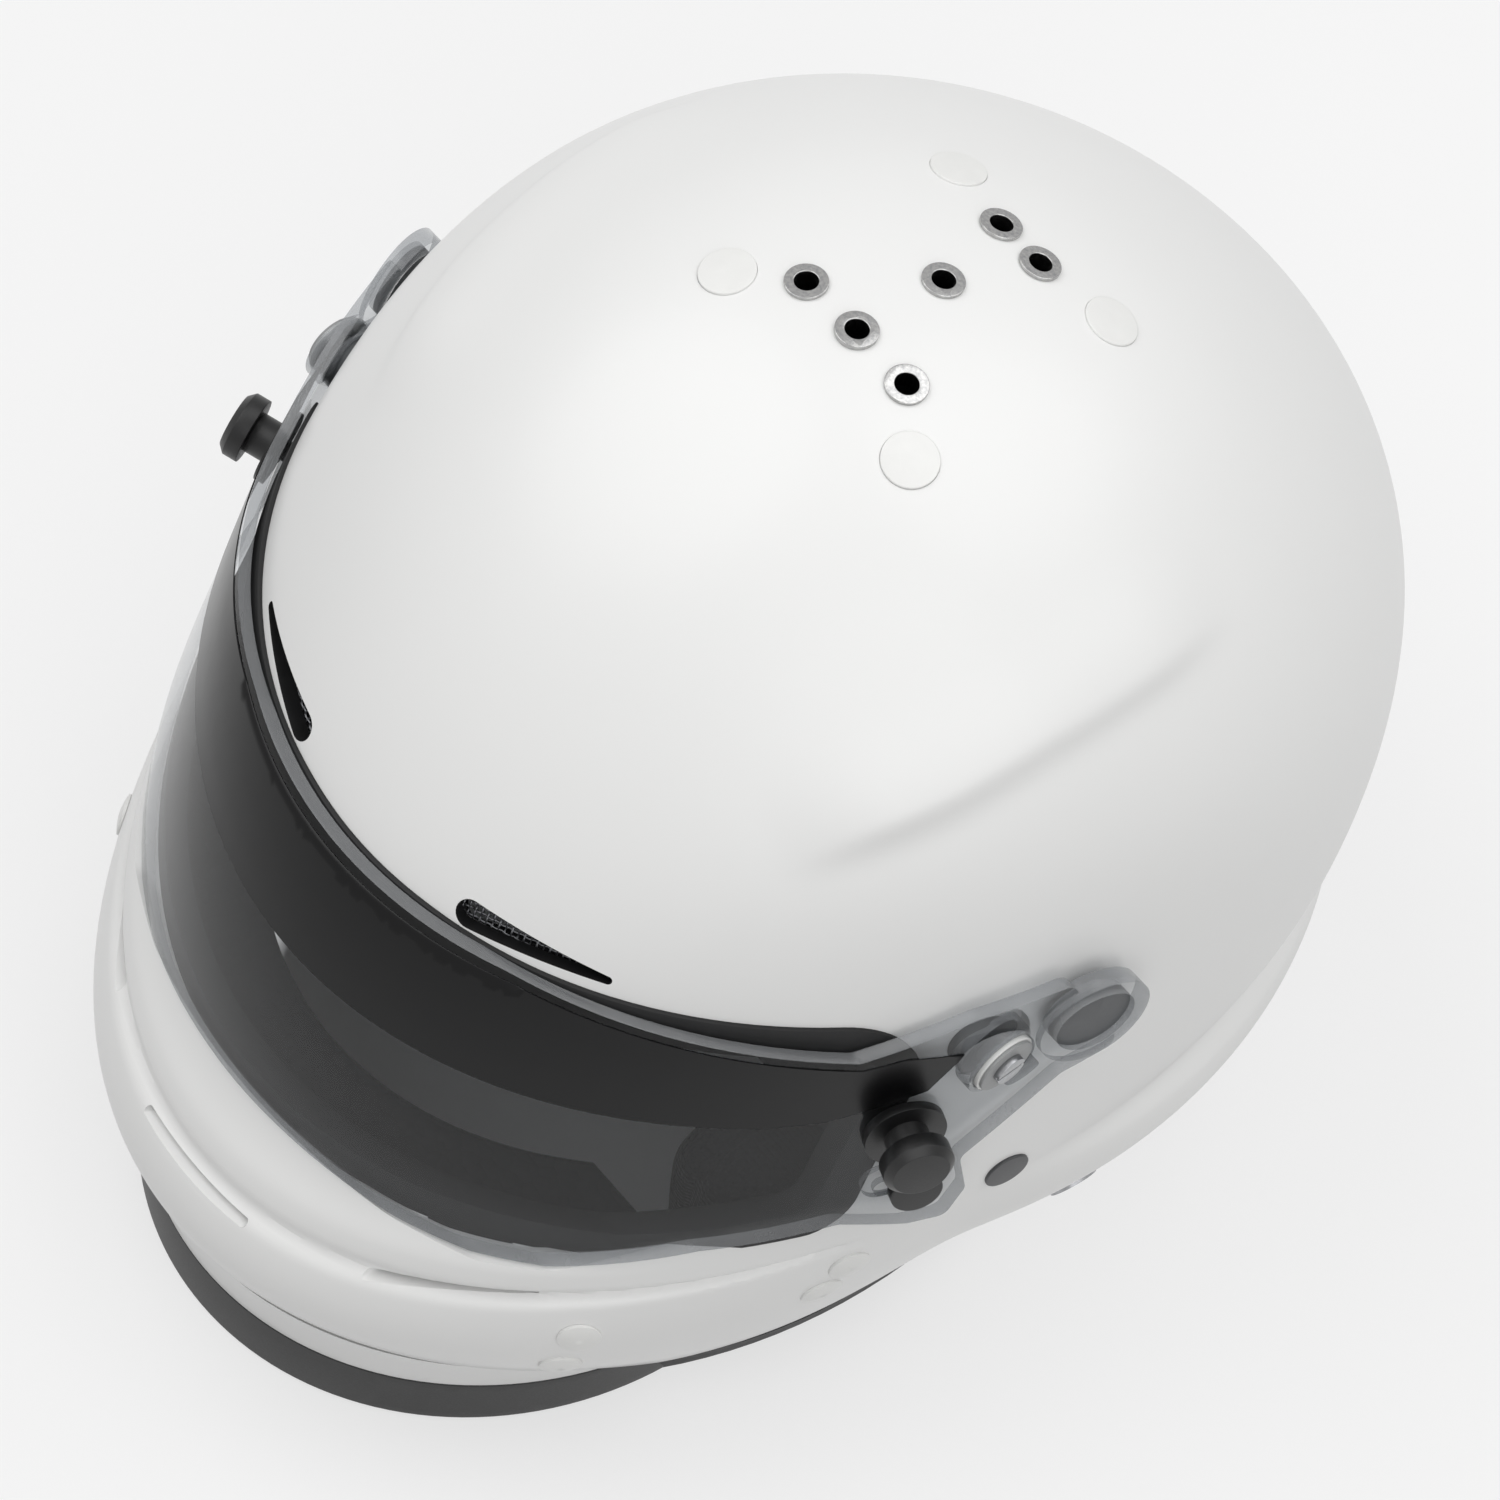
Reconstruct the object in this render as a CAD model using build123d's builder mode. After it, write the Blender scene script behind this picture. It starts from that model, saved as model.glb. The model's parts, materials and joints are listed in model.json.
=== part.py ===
"""Auto racing helmet in millimetres.

Up is +Z, the wearer faces -Y and the wearer's left is +X. The origin is in the middle of the
helmet's length and width, at the height of the surface that it stands on.
"""

import os
from math import cos, radians, sin

from build123d import *

os.makedirs("parts", exist_ok=True)

# Shell
shell_length = 315.0
shell_width = 252.0
shell_height = 255.0
shell_wall = 4.5
reach = shell_length / 2
half_width = shell_width / 2
cut_over = 20.0
skin_gap = 0.3

# Level outlines of the shell from the rim up, in shares of its height, its reach and half width,
# and how far back each level is widest, in shares of the reach
level_shares = (0, 0.118, 0.2275, 0.361, 0.408, 0.494, 0.6275, 0.765, 0.878, 0.955, 0.989)
front_shares = (0.81, 0.911, 1, 0.898, 0.848, 0.79, 0.737, 0.59, 0.394, 0.187, 0.019)
rear_shares = (0.727, 0.778, 0.825, 0.95, 0.973, 0.999, 1.005, 0.887, 0.7, 0.486, 0.286)
width_shares = (0.73, 0.81, 0.878, 0.958, 0.974, 0.975, 0.937, 0.844, 0.661, 0.4286, 0.222)
widest_shares = (-0.054, -0.079, -0.085, 0.068, 0.147, 0.222, 0.245, 0.177, 0.143, 0.137, 0.121)
crown_share = 0.11

# Flare round the lower rear of the shell, in the same shares
flare_level_shares = (0.1, 0.16, 0.235, 0.33, 0.385)
flare_front_share = 0.635
flare_rear_shares = (0.75, 0.806, 0.863, 0.971, 0.952)
flare_width_shares = (0.76, 0.853, 0.9325, 1, 0.964)
flare_widest_shares = (0.045, 0.073, 0.101, 0.155, 0.148)

# Lower edge and its rubber trim
rim_height = 3.0
trim_height = 12.0
trim_wall = 1.8

# Eyeport in side view, in shares of the reach and of the height
eyeport_shares = ((-0.68, 0.663), (-0.26, 0.629), (-0.379, 0.42), (-0.612, 0.395), (-0.72, 0.396))
eyeport_top_share = 0.668
eyeport_corner = 10.0
gasket_lip = 6.0
gasket_lining = 2.2
gasket_wall = 1.0

# Groove of the chin bar
groove_width = 4.5
groove_depth = 2.2
groove_front_share = 0.291
groove_rear_share = 0.365
groove_end_share = -0.285

# Level outlines of the shield's outer face
shield_level_shares = (0.345, 0.47, 0.588, 0.667, 0.745)
shield_front_shares = (0.898, 0.857, 0.8, 0.74, 0.654)
shield_width_shares = (1.08, 1.04, 1.002, 0.993, 0.978)
shield_centre_share = 0.31
shield_wall = 3.0
rebate_gap = 1.4
rebate_margin = 1.0

# Shield in side view, from the top edge back along the arm and forward under the ear
shield_outline_shares = (
    (-0.656, 0.6884),
    (-0.335, 0.6375),
    (-0.185, 0.6681),
    (-0.057, 0.6786),
    (-0.009, 0.6073),
    (0.029, 0.5586),
    (-0.061, 0.5471),
    (-0.208, 0.4764),
    (-0.202, 0.4334),
    (-0.232, 0.4028),
    (-0.284, 0.4044),
    (-0.373, 0.423),
    (-0.543, 0.4034),
    (-0.701, 0.3653),
    (-0.769, 0.3618),
    (-0.827, 0.371),
    (-0.883, 0.3915),
)
shield_top_share = 0.698
outline_corner = 3.0

# Sun strip in side view, from its top rear tip down and forward
strip_wall = 0.3
strip_shares = ((-0.656, 0.6804), (-0.333, 0.628), (-0.278, 0.6335), (-0.202, 0.6242))
strip_low_shares = ((-0.252, 0.584), (-0.38, 0.566), (-0.459, 0.5646), (-0.521, 0.568))
strip_top_share = 0.691
strip_low_share = 0.6

# Shield pivot, and the ring at the end of the arm behind it
pivot_setback = -24.5
pivot_height = 154.0
seat_face = 109.4
seat_radius = 10.6
boss_radius = 7.8
shoulder_radius = 4.0
collar_inner = 8.1
collar_outer = 9.3
collar_top = 115.2
pad_inner = 110.9
pad_outer = 113.9
running_gap = 0.05
end_gap = 0.15
spacer_radius = 7.75
spacer_wall = 1.0
washer_radius = 7.2
washer_wall = 0.8
screw_head_radius = 3.8
screw_head_height = 1.5
screw_radius = 2.0
slot_width = 0.9
slot_depth = 0.7
nut_radius = 7.5
nut_wall = 2.0
nut_face = 100.6
stop_root = 108.3
stop_circle = 11.0
stop_angle = -73.0
stop_radius = 1.2
stop_play = 0.25
stop_face = 115.5
shield_opening = 30.0
arm_reach = 21.3
arm_angle = 9.0
ring_radius = 13.0
ring_hole_radius = 9.25
ring_rise = 1.6
disc_rise = 0.3
disc_wall = 1.8

# Tear-off posts
post_place = (-44.6, 137.0)
post_base_radius = 9.25
post_base_rise = 2.2
post_barrel_radius = 5.0
post_barrel_rise = 7.5
spindle_radius = 3.0
spindle_rise = 11.0
cap_radius = 8.0
cap_height = 5.2
cap_bevel = 1.6
cap_bore = 3.6
cap_notch = 2.0
post_stub_radius = 2.5

# Lock button of the shield, in a slot of its left ear
lock_place = (-43.2, 117.5)
lock_radius = 6.0
lock_lift = 0.3
lock_head = 3.0
lock_stem_radius = 2.2
lock_play = 0.25
lock_travel = 6.5
lock_plate_radius = 4.5
lock_plate_wall = 0.8
lock_plate_top = -1.9

# Crown eyelets and plugs, as places seen from above
eyelet_places = ((-16.1, 18.6), (0, 18.6), (16.1, 18.6), (0, 42.9), (-6.3, 65.5), (6.3, 65.5))
eyelet_radius = 4.8
eyelet_hole_radius = 2.65
eyelet_barrel_radius = 3.3
eyelet_rise = 0.8
plug_places = ((-29.5, 8.5), (29.5, 8.5), (-24.8, 70.3), (24.8, 70.3))
plug_radius = 6.35
plug_seat = 1.5
plug_rise = 0.35

# Vents in the brow and slots in the chin bar, seen from the front
brow_vent_inner = (28.8, 177.8)
brow_vent_outer = (57.7, 176.0)
brow_vent_radius = 3.4
brow_vent_tip_radius = 1.0
brow_vent_depth = 45.0
slot_half_length = 17.5
slot_level = 74.5
side_slot_inner = (45.6, 77.9)
side_slot_outer = (72.8, 83.4)
chin_slot_radius = 1.0
chin_slot_back = 95.0
mesh_wall = 0.6
mesh_margin = 2.0
air_margin = 1.0

# Chin bar caps and head restraint anchors, as places seen from the side
cap_places = ((-108.2, 71.5), (-53.2, 82.8), (-110.5, 56.6), (-58.1, 72.0))
chin_cap_radius = 5.0
chin_cap_edge = 0.5
chin_cap_dome = 0.9
anchor_place = (-17.0, 99.7)
anchor_radius = 5.5
anchor_plug_wall = 1.6
anchor_rise = 0.6
anchor_flange_radius = 9.0
anchor_flange_wall = 1.5
anchor_bore_radius = 2.5
anchor_depth = 6.5

# Chin spoiler and its lip
lip_low = 1.0
lip_low_front = 149.1
lip_low_width = 80.0
lip_low_centre = -60.5
lip_top = 18.0
lip_top_front = 148.0
lip_top_width = 82.0
lip_top_centre = -55.5
spoiler_low = 18.3
spoiler_top = 46.0
spoiler_top_front = 152.5
spoiler_top_width = 88.0
spoiler_top_centre = -45.5

# Impact liner, in side view from the brow round the ears to the neck
liner_wall = 33.0
liner_shares = (
    (-1.2, 0.674),
    (-0.26, 0.674),
    (-0.25, 0.63),
    (-0.33, 0.475),
    (-0.13, 0.4),
    (0.38, 0.37),
    (0.6, 0.216),
    (1.2, 0.2),
)
pad_wall = 8.0
pad_shares = (
    (-1.2, 0.72),
    (-0.2, 0.72),
    (-0.1, 0.52),
    (0.3, 0.48),
    (0.62, 0.3),
    (1.2, 0.28),
)

# Chin liner, cheek pads and nape pad
chin_liner_wall = 21.0
chin_liner_back = -86.0
chin_liner_low = 20.0
chin_liner_top = 92.0
cheek_shares = (
    (-0.48, 0.12),
    (-0.48, 0.385),
    (-0.38, 0.42),
    (-0.14, 0.375),
    (0.24, 0.345),
    (0.28, 0.25),
    (0.2, 0.1),
    (-0.3, 0.09),
)
cheek_corner = 8.0
cheek_face = 66.0
cheek_round = 5.0
nape_front = 96.0
nape_low = 22.0
nape_top = 49.0
nape_wall = 26.0

# Chin straps, rivets, D-rings and snap
strap_width = 25.0
strap_wall = 2.0
strap_setback = 10.0
strap_level = 71.0
strap_tab = 102.8
strap_drop = 58.0
strap_corner = 2.0
right_strap_end = 14.0
loop_radius = 5.1
loop_level = 38.0
strap_slot_gap = 1.5
rivet_level = 62.0
rivet_radius = 2.5
rivet_head_radius = 6.0
rivet_head_rise = 1.2
rivet_tail_radius = 4.5
rivet_tail_wall = 1.0
ring_bar = 3.6
ring_span = 34.0
ring_drop = 22.0
ring_pitch = 4.6
ring_edge = 1.0
snap_radius = 6.0
snap_wall = 2.2
snap_level = 21.0


def level_face(level, front, rear, width, centre):
    """Level face of two half ellipses that share their widest place."""
    with BuildSketch(Plane.XY.offset(level)) as outline:
        with BuildLine():
            EllipticalCenterArc((0, centre), width, front + centre, start_angle=180, arc_size=180)
            EllipticalCenterArc((0, centre), width, rear - centre, start_angle=0, arc_size=180)
        make_face()
    return outline.sketch.face()


def front_face(level, front, width, centre):
    """Level face of one half ellipse in front of its widest place."""
    with BuildSketch(Plane.XY.offset(level)) as outline:
        with BuildLine():
            EllipticalCenterArc((0, centre), width, front + centre, start_angle=180, arc_size=180)
            Line((-width, centre), (width, centre))
        make_face()
    return outline.sketch.face()


shell_rows = list(zip(level_shares, front_shares, rear_shares, width_shares, widest_shares))


def head_form(inset):
    """Solid inside the shell's outer face, moved inward by the inset."""
    r, w, h = reach - inset, half_width - inset, shell_height - inset
    faces = [
        level_face(level * h, front * r, rear * r, width * w, widest * r)
        for level, front, rear, width, widest in shell_rows
    ]
    with BuildPart() as form:
        loft(sections=[*faces, Vertex(0, crown_share * r, h)])
    return form.part


def shield_form(inset):
    """Solid behind the shield's outer face, moved inward by the inset."""
    faces = [
        front_face(level * shell_height, front * reach - inset, width * half_width - inset, shield_centre)
        for level, front, width in zip(shield_level_shares, shield_front_shares, shield_width_shares)
    ]
    with BuildPart() as form:
        loft(sections=faces)
    return form.part


def side_points(shares):
    """Places in side view from shares of the reach and of the height."""
    return [(y * reach, z * shell_height) for y, z in shares]


def side_prism(points, corner=0, grow=0, over=0):
    """Prism across the helmet with the outline in side view, rounded and grown as asked."""
    with BuildPart() as prism:
        with BuildSketch(Plane.YZ) as outline:
            with BuildLine():
                Polyline(*points, close=True)
            make_face()
            if corner:
                inner = [v for v in outline.vertices() if v.X > -reach]
                fillet(inner, corner)
            if grow:
                offset(amount=grow)
        extrude(amount=half_width + cut_over + over, both=True)
    return prism.part


def rod(centre, radius, start, end):
    """Rod along the X axis on the wearer's left, at a place in side view."""
    with BuildPart() as bar:
        with BuildSketch(Plane.YZ.offset(start)):
            with Locations(centre):
                Circle(radius)
        extrude(amount=end - start)
    return bar.part


def front_prism(first, second, first_radius, second_radius, back, grow=0):
    """Prism along the Y axis round two places seen from the front, out through the shell."""
    with BuildPart() as prism:
        with BuildSketch(Plane.XZ.offset(back)):
            with Locations(first):
                Circle(first_radius + grow)
            with Locations(second):
                Circle(second_radius + grow)
            make_hull()
        extrude(amount=reach + cut_over - back)
    return prism.part


def outward(hits, along):
    """Plane on the outermost of the hits, facing out."""
    point, normal = max(hits, key=lambda hit: hit[0].dot(along))
    return Plane(origin=point, z_dir=normal if normal.dot(along) > 0 else normal * -1)


def side_plane(place):
    """Plane on the wearer's left of the skin."""
    ray = Vector(1, 0, 0)
    return outward(skin.find_intersection_points(Axis((0, *place), ray)), ray)


def crown_plane(place):
    """Plane on the top of the skin."""
    ray = Vector(0, 0, 1)
    return outward(skin.find_intersection_points(Axis((*place, shell_height / 2), ray)), ray)


def front_plane(place):
    """Plane on the front of the skin."""
    ray = Vector(0, -1, 0)
    return outward(skin.find_intersection_points(Axis((place[0], 0, place[1]), ray)), ray)


def vent_prism(grow=0):
    """Prism of the left brow vent, square to the skin between its two ends."""
    first, last = front_plane(brow_vent_inner), front_plane(brow_vent_outer)
    along = last.origin - first.origin
    plane = Plane(origin=first.origin, x_dir=along, z_dir=first.z_dir + last.z_dir)
    with BuildPart() as prism:
        with BuildSketch(plane.offset(-brow_vent_depth)):
            Circle(brow_vent_radius + grow)
            with Locations((along.length, 0)):
                Circle(brow_vent_tip_radius + grow)
            make_hull()
        extrude(amount=brow_vent_depth + cut_over)
    return prism.part


def plug(plane, radius, low, high):
    """Round plug along the plane's normal between two heights."""
    with BuildPart() as body:
        with BuildSketch(plane.offset(low)):
            Circle(radius)
        extrude(amount=high - low)
    return body.part


def both_sides(piece):
    """The piece with its mirror image on the other side."""
    return [piece, mirror(piece, about=Plane.YZ)]


def mirrored(builder):
    """Mirror image of a piece on the wearer's right."""
    with BuildPart() as other:
        mirror(builder.part, about=Plane.YZ)
    return other


# Places shared by several pieces
shield_centre = shield_centre_share * reach
pivot = (pivot_setback, pivot_height)
ring_place = (
    pivot_setback + arm_reach * cos(radians(arm_angle)),
    pivot_height + arm_reach * sin(radians(arm_angle)),
)
stop_place = (
    pivot_setback + stop_circle * cos(radians(stop_angle)),
    pivot_height + stop_circle * sin(radians(stop_angle)),
)
far_front = -reach - cut_over
shoulder_face = pad_outer + end_gap + 2 * spacer_wall
washer_face = shoulder_face + washer_wall

# Solid forms that the pieces are cut from
head = head_form(0)
cavity = head_form(shell_wall)
shield_back = shield_form(shield_wall)
shield_front = shield_form(0)

flare_rows = zip(flare_level_shares, flare_rear_shares, flare_width_shares, flare_widest_shares)
with BuildPart() as flare:
    loft(
        sections=[
            level_face(
                level * shell_height,
                flare_front_share * reach,
                rear * reach,
                width * half_width,
                widest * reach,
            )
            for level, rear, width, widest in flare_rows
        ]
    )

shield_low = shield_outline_shares[-1][1] * shell_height
shield_points = [
    (far_front, shield_top_share * shell_height),
    *side_points(shield_outline_shares),
    (far_front, shield_low),
]
shield_prism = side_prism(shield_points, outline_corner)
rebate_prism = side_prism(shield_points, outline_corner, rebate_margin)
eyeport_points = [
    (far_front, eyeport_top_share * shell_height),
    *side_points(eyeport_shares),
    (far_front, eyeport_shares[-1][1] * shell_height),
]
eyeport_prism = side_prism(eyeport_points, eyeport_corner)

groove_points = [
    (far_front, groove_front_share * shell_height - groove_width / 2),
    (far_front, groove_front_share * shell_height + groove_width / 2),
    (groove_end_share * reach, groove_rear_share * shell_height),
]

with BuildPart() as rebate:
    add(rebate_prism)
    add(shield_form(shield_wall + rebate_gap), mode=Mode.SUBTRACT)

with BuildPart() as groove:
    add(side_prism(groove_points))
    add(head_form(groove_depth), mode=Mode.SUBTRACT)

with BuildPart() as seats:
    for side in both_sides(rod(pivot, seat_radius, seat_face, half_width)):
        add(side)

with BuildPart() as skin_body:
    add(head)
    add(flare.part)
    add(rebate.part, mode=Mode.SUBTRACT)
    add(groove.part, mode=Mode.SUBTRACT)
    add(seats.part, mode=Mode.SUBTRACT)
    with Locations((0, 0, rim_height / 2)):
        Box(2 * reach, 2 * reach, rim_height, mode=Mode.SUBTRACT)
skin = skin_body.part

eyelet_planes = [crown_plane(place) for place in eyelet_places]
plug_planes = [crown_plane(place) for place in plug_places]
cap_planes = [side_plane(place) for place in cap_places]
anchor_plane = side_plane(anchor_place)
rivet_place = (strap_setback, rivet_level)
rivet_plane = side_plane(rivet_place)

side_slot = (side_slot_inner, side_slot_outer, chin_slot_radius, chin_slot_radius, chin_slot_back)
slot_ends = ((-slot_half_length, slot_level), (slot_half_length, slot_level))
front_slot = (*slot_ends, chin_slot_radius, chin_slot_radius, chin_slot_back)
vent_cuts = both_sides(vent_prism())
vent_pockets = both_sides(vent_prism(mesh_margin))
slot_cuts = [front_prism(*front_slot), *both_sides(front_prism(*side_slot))]
slot_pockets = [
    front_prism(*front_slot, grow=mesh_margin),
    *both_sides(front_prism(*side_slot, grow=mesh_margin)),
]

# Outer shell
with BuildPart() as outer_shell:
    add(skin)
    add(cavity, mode=Mode.SUBTRACT)
    add(eyeport_prism, mode=Mode.SUBTRACT)
    for cut in vent_cuts + slot_cuts:
        add(cut, mode=Mode.SUBTRACT)
    for plane in eyelet_planes:
        add(plug(plane, eyelet_barrel_radius, -cut_over, cut_over), mode=Mode.SUBTRACT)
    for plane in plug_planes:
        add(plug(plane, plug_radius, -plug_seat, plug_seat), mode=Mode.SUBTRACT)
    for cut in both_sides(plug(anchor_plane, anchor_radius, -cut_over, cut_over)):
        add(cut, mode=Mode.SUBTRACT)
    for cut in both_sides(rod(pivot, screw_radius + running_gap, pivot_height / 2, half_width)):
        add(cut, mode=Mode.SUBTRACT)
    for cut in both_sides(rod(stop_place, stop_radius, pivot_height / 2, half_width)):
        add(cut, mode=Mode.SUBTRACT)
    for cut in both_sides(rod(rivet_place, rivet_radius, rivet_level, half_width)):
        add(cut, mode=Mode.SUBTRACT)

# Gasket round the eyeport
with BuildPart() as eyeport_gasket:
    add(side_prism(eyeport_points, eyeport_corner, gasket_lip))
    add(side_prism(eyeport_points, eyeport_corner, -gasket_lining, cut_over), mode=Mode.SUBTRACT)
    add(head_form(-gasket_wall), mode=Mode.INTERSECT)
    add(shield_form(shield_wall + rebate_gap - gasket_wall), mode=Mode.INTERSECT)
    for cut in [cavity, outer_shell.part, *vent_cuts]:
        add(cut, mode=Mode.SUBTRACT)

# Rubber trim of the lower edge, the foot that the helmet stands on
with BuildPart() as trim_form:
    add(head_form(-trim_wall))
    with Locations((0, 0, trim_height / 2)):
        Box(2 * shell_width, 2 * shell_length, trim_height, mode=Mode.INTERSECT)

with BuildPart() as base_edge_trim:
    add(trim_form.part)
    add(head_form(shell_wall + trim_wall), mode=Mode.SUBTRACT)
    add(outer_shell.part, mode=Mode.SUBTRACT)

# Meshes behind the vents, and their seats in the liners
liner_skin = head_form(shell_wall + skin_gap)
mesh_back = head_form(shell_wall + skin_gap + mesh_wall)
seat_back = head_form(shell_wall + 2 * skin_gap + mesh_wall)
mesh_grow = mesh_margin - skin_gap

with BuildPart() as brow_vent_mesh_left:
    add(vent_prism(mesh_grow))
    add(liner_skin, mode=Mode.INTERSECT)
    add(mesh_back, mode=Mode.SUBTRACT)
brow_vent_mesh_right = mirrored(brow_vent_mesh_left)

with BuildPart() as chin_vent_mesh:
    add(front_prism(*front_slot, grow=mesh_grow))
    for slot in both_sides(front_prism(*side_slot, grow=mesh_grow)):
        add(slot)
    add(liner_skin, mode=Mode.INTERSECT)
    add(mesh_back, mode=Mode.SUBTRACT)

with BuildPart() as mesh_seats:
    for seat in vent_pockets + slot_pockets:
        add(seat)
    add(seat_back, mode=Mode.SUBTRACT)

# Impact liner with its head space and air holes
liner_back = head_form(shell_wall + liner_wall)
above_shell = [(reach + cut_over, shell_height + cut_over), (far_front, shell_height + cut_over)]
nut_space = rod(pivot, nut_radius + air_margin, nut_face - nut_wall - air_margin, half_width)
flange_space = plug(anchor_plane, anchor_flange_radius + air_margin, -anchor_depth - air_margin, 0)
with BuildPart() as impact_liner:
    add(liner_skin)
    add(liner_back, mode=Mode.SUBTRACT)
    add(side_prism([*side_points(liner_shares), *above_shell]), mode=Mode.INTERSECT)
    for plane in eyelet_planes:
        hole = plug(plane, eyelet_barrel_radius + air_margin, -liner_wall - cut_over, cut_over)
        add(hole, mode=Mode.SUBTRACT)
    for cut in [*vent_cuts, *both_sides(nut_space), *both_sides(flange_space), mesh_seats.part]:
        add(cut, mode=Mode.SUBTRACT)

# Chin bar liner
with BuildPart() as chin_liner:
    add(liner_skin)
    add(head_form(shell_wall + chin_liner_wall), mode=Mode.SUBTRACT)
    with Locations((0, chin_liner_back - reach, (chin_liner_low + chin_liner_top) / 2)):
        Box(shell_width, 2 * reach, chin_liner_top - chin_liner_low, mode=Mode.INTERSECT)
    for cut in [*slot_cuts, mesh_seats.part]:
        add(cut, mode=Mode.SUBTRACT)

# Comfort liner of the crown
with BuildPart() as crown_pad:
    add(head_form(shell_wall + liner_wall + skin_gap))
    add(head_form(shell_wall + liner_wall + pad_wall), mode=Mode.SUBTRACT)
    add(side_prism([*side_points(pad_shares), *above_shell]), mode=Mode.INTERSECT)

# Cheek pads, with a slot and a pocket for the chin strap
with BuildPart() as cheek_pad_left:
    add(side_prism(side_points(cheek_shares), cheek_corner))
    with Locations((cheek_face + half_width, 0, shell_height / 2)):
        Box(2 * half_width, shell_length, shell_height, mode=Mode.INTERSECT)
    fillet(cheek_pad_left.faces().sort_by(Axis.X)[0].edges(), cheek_round)
    add(liner_skin, mode=Mode.INTERSECT)
    with Locations((half_width, strap_setback, strap_level)):
        Box(
            2 * half_width,
            strap_width + 2 * strap_slot_gap,
            strap_wall + 2 * strap_slot_gap,
            mode=Mode.SUBTRACT,
        )
    with Locations((strap_tab + half_width - strap_slot_gap - strap_wall, strap_setback, rivet_level)):
        Box(
            2 * half_width,
            strap_width + 2 * strap_slot_gap,
            2 * (strap_level - rivet_level),
            mode=Mode.SUBTRACT,
        )
    add(flange_space, mode=Mode.SUBTRACT)
cheek_pad_right = mirrored(cheek_pad_left)

# Nape pad
with BuildPart() as nape_pad:
    add(liner_skin)
    add(head_form(shell_wall + nape_wall), mode=Mode.SUBTRACT)
    with Locations((0, nape_front + reach, (nape_low + nape_top) / 2)):
        Box(shell_width, 2 * reach, nape_top - nape_low, mode=Mode.INTERSECT)


# Chin straps
def strap_band(end):
    """Webbing from the rivet over and through the cheek pad and down, on the wearer's left."""
    half = strap_wall / 2
    with BuildPart() as band:
        with BuildSketch(Plane.XZ.offset(-strap_setback - strap_width / 2)) as outline:
            with BuildLine():
                Polyline(
                    (strap_tab, 2 * rivet_level - strap_level),
                    (strap_tab, strap_level + half),
                    (strap_drop - half, strap_level + half),
                    (strap_drop - half, end),
                    (strap_drop + half, end),
                    (strap_drop + half, strap_level - half),
                    (strap_tab - strap_wall, strap_level - half),
                    (strap_tab - strap_wall, 2 * rivet_level - strap_level),
                    close=True,
                )
            make_face()
            tops = outline.vertices().group_by(Axis.Y)
            fillet(tops[-1], strap_wall + strap_corner)
            fillet(outline.vertices().group_by(Axis.Y)[-2], strap_corner)
        extrude(amount=strap_width)
        add(rod(rivet_place, rivet_radius, strap_drop + half, half_width), mode=Mode.SUBTRACT)
    return band.part


loop_plane = Plane.XZ.offset(-strap_setback - strap_width / 2)
with BuildPart() as chin_strap_left:
    add(strap_band(loop_level + loop_radius + strap_wall / 2))
    with BuildSketch(loop_plane):
        with Locations((strap_drop, loop_level)):
            Circle(loop_radius + strap_wall)
            Circle(loop_radius, mode=Mode.SUBTRACT)
    extrude(amount=strap_width)

with BuildPart() as right_band:
    add(strap_band(right_strap_end))
chin_strap_right = mirrored(right_band)


def d_ring(offset_x):
    """Flat D-ring through the strap's loop."""
    top = loop_level + ring_bar / 2
    half = ring_span / 2
    with BuildPart() as ring:
        with BuildSketch(Plane.YZ.offset(strap_drop + offset_x - ring_bar / 2)):
            with BuildLine():
                Polyline(
                    (strap_setback - half, loop_level - ring_bar),
                    (strap_setback - half, top),
                    (strap_setback + half, top),
                    (strap_setback + half, loop_level - ring_bar),
                )
                ThreePointArc(
                    (strap_setback + half, loop_level - ring_bar),
                    (strap_setback, loop_level - ring_drop),
                    (strap_setback - half, loop_level - ring_bar),
                )
            make_face()
            offset(amount=-ring_bar, mode=Mode.SUBTRACT)
        extrude(amount=ring_bar)
        fillet(ring.edges().filter_by(Plane.YZ), ring_edge)
    return ring


d_ring_outer = d_ring(ring_pitch / 2)
d_ring_inner = d_ring(-ring_pitch / 2)

with BuildPart() as strap_snap:
    snap_back = strap_drop - strap_wall / 2
    mirror(rod((strap_setback, snap_level), snap_radius, snap_back - snap_wall, snap_back), about=Plane.YZ)

with BuildPart() as left_rivet:
    add(plug(rivet_plane, rivet_head_radius, -rivet_head_rise, rivet_head_rise))
    add(skin, mode=Mode.SUBTRACT)
    tab_back = strap_tab - strap_wall
    add(rod(rivet_place, rivet_radius, tab_back, rivet_plane.origin.X))
    add(rod(rivet_place, rivet_tail_radius, tab_back - rivet_tail_wall, tab_back))
with BuildPart() as strap_rivets:
    for side in both_sides(left_rivet.part):
        add(side)

# Crown eyelets and plugs
with BuildPart() as crown_eyelets:
    for plane in eyelet_planes:
        with BuildSketch(plane.offset(-eyelet_rise)):
            Circle(eyelet_radius)
        extrude(amount=2 * eyelet_rise)
    add(skin, mode=Mode.SUBTRACT)
    for plane in eyelet_planes:
        add(plug(plane, eyelet_barrel_radius, -shell_wall, 0))
        add(plug(plane, eyelet_hole_radius, -cut_over, cut_over), mode=Mode.SUBTRACT)

with BuildPart() as crown_plugs:
    for plane in plug_planes:
        add(plug(plane, plug_radius, -plug_seat, plug_rise))


# Chin bar caps
def domed_cap(plane):
    """Round cap with a domed top, its foot below the skin."""
    top = chin_cap_edge + chin_cap_dome
    dome = (chin_cap_radius**2 + chin_cap_dome**2) / (2 * chin_cap_dome)
    with BuildPart() as cap:
        add(plug(plane, chin_cap_radius, -shell_wall, top))
        with Locations(plane.offset(top - dome)):
            Sphere(dome, mode=Mode.INTERSECT)
    return cap.part


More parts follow.
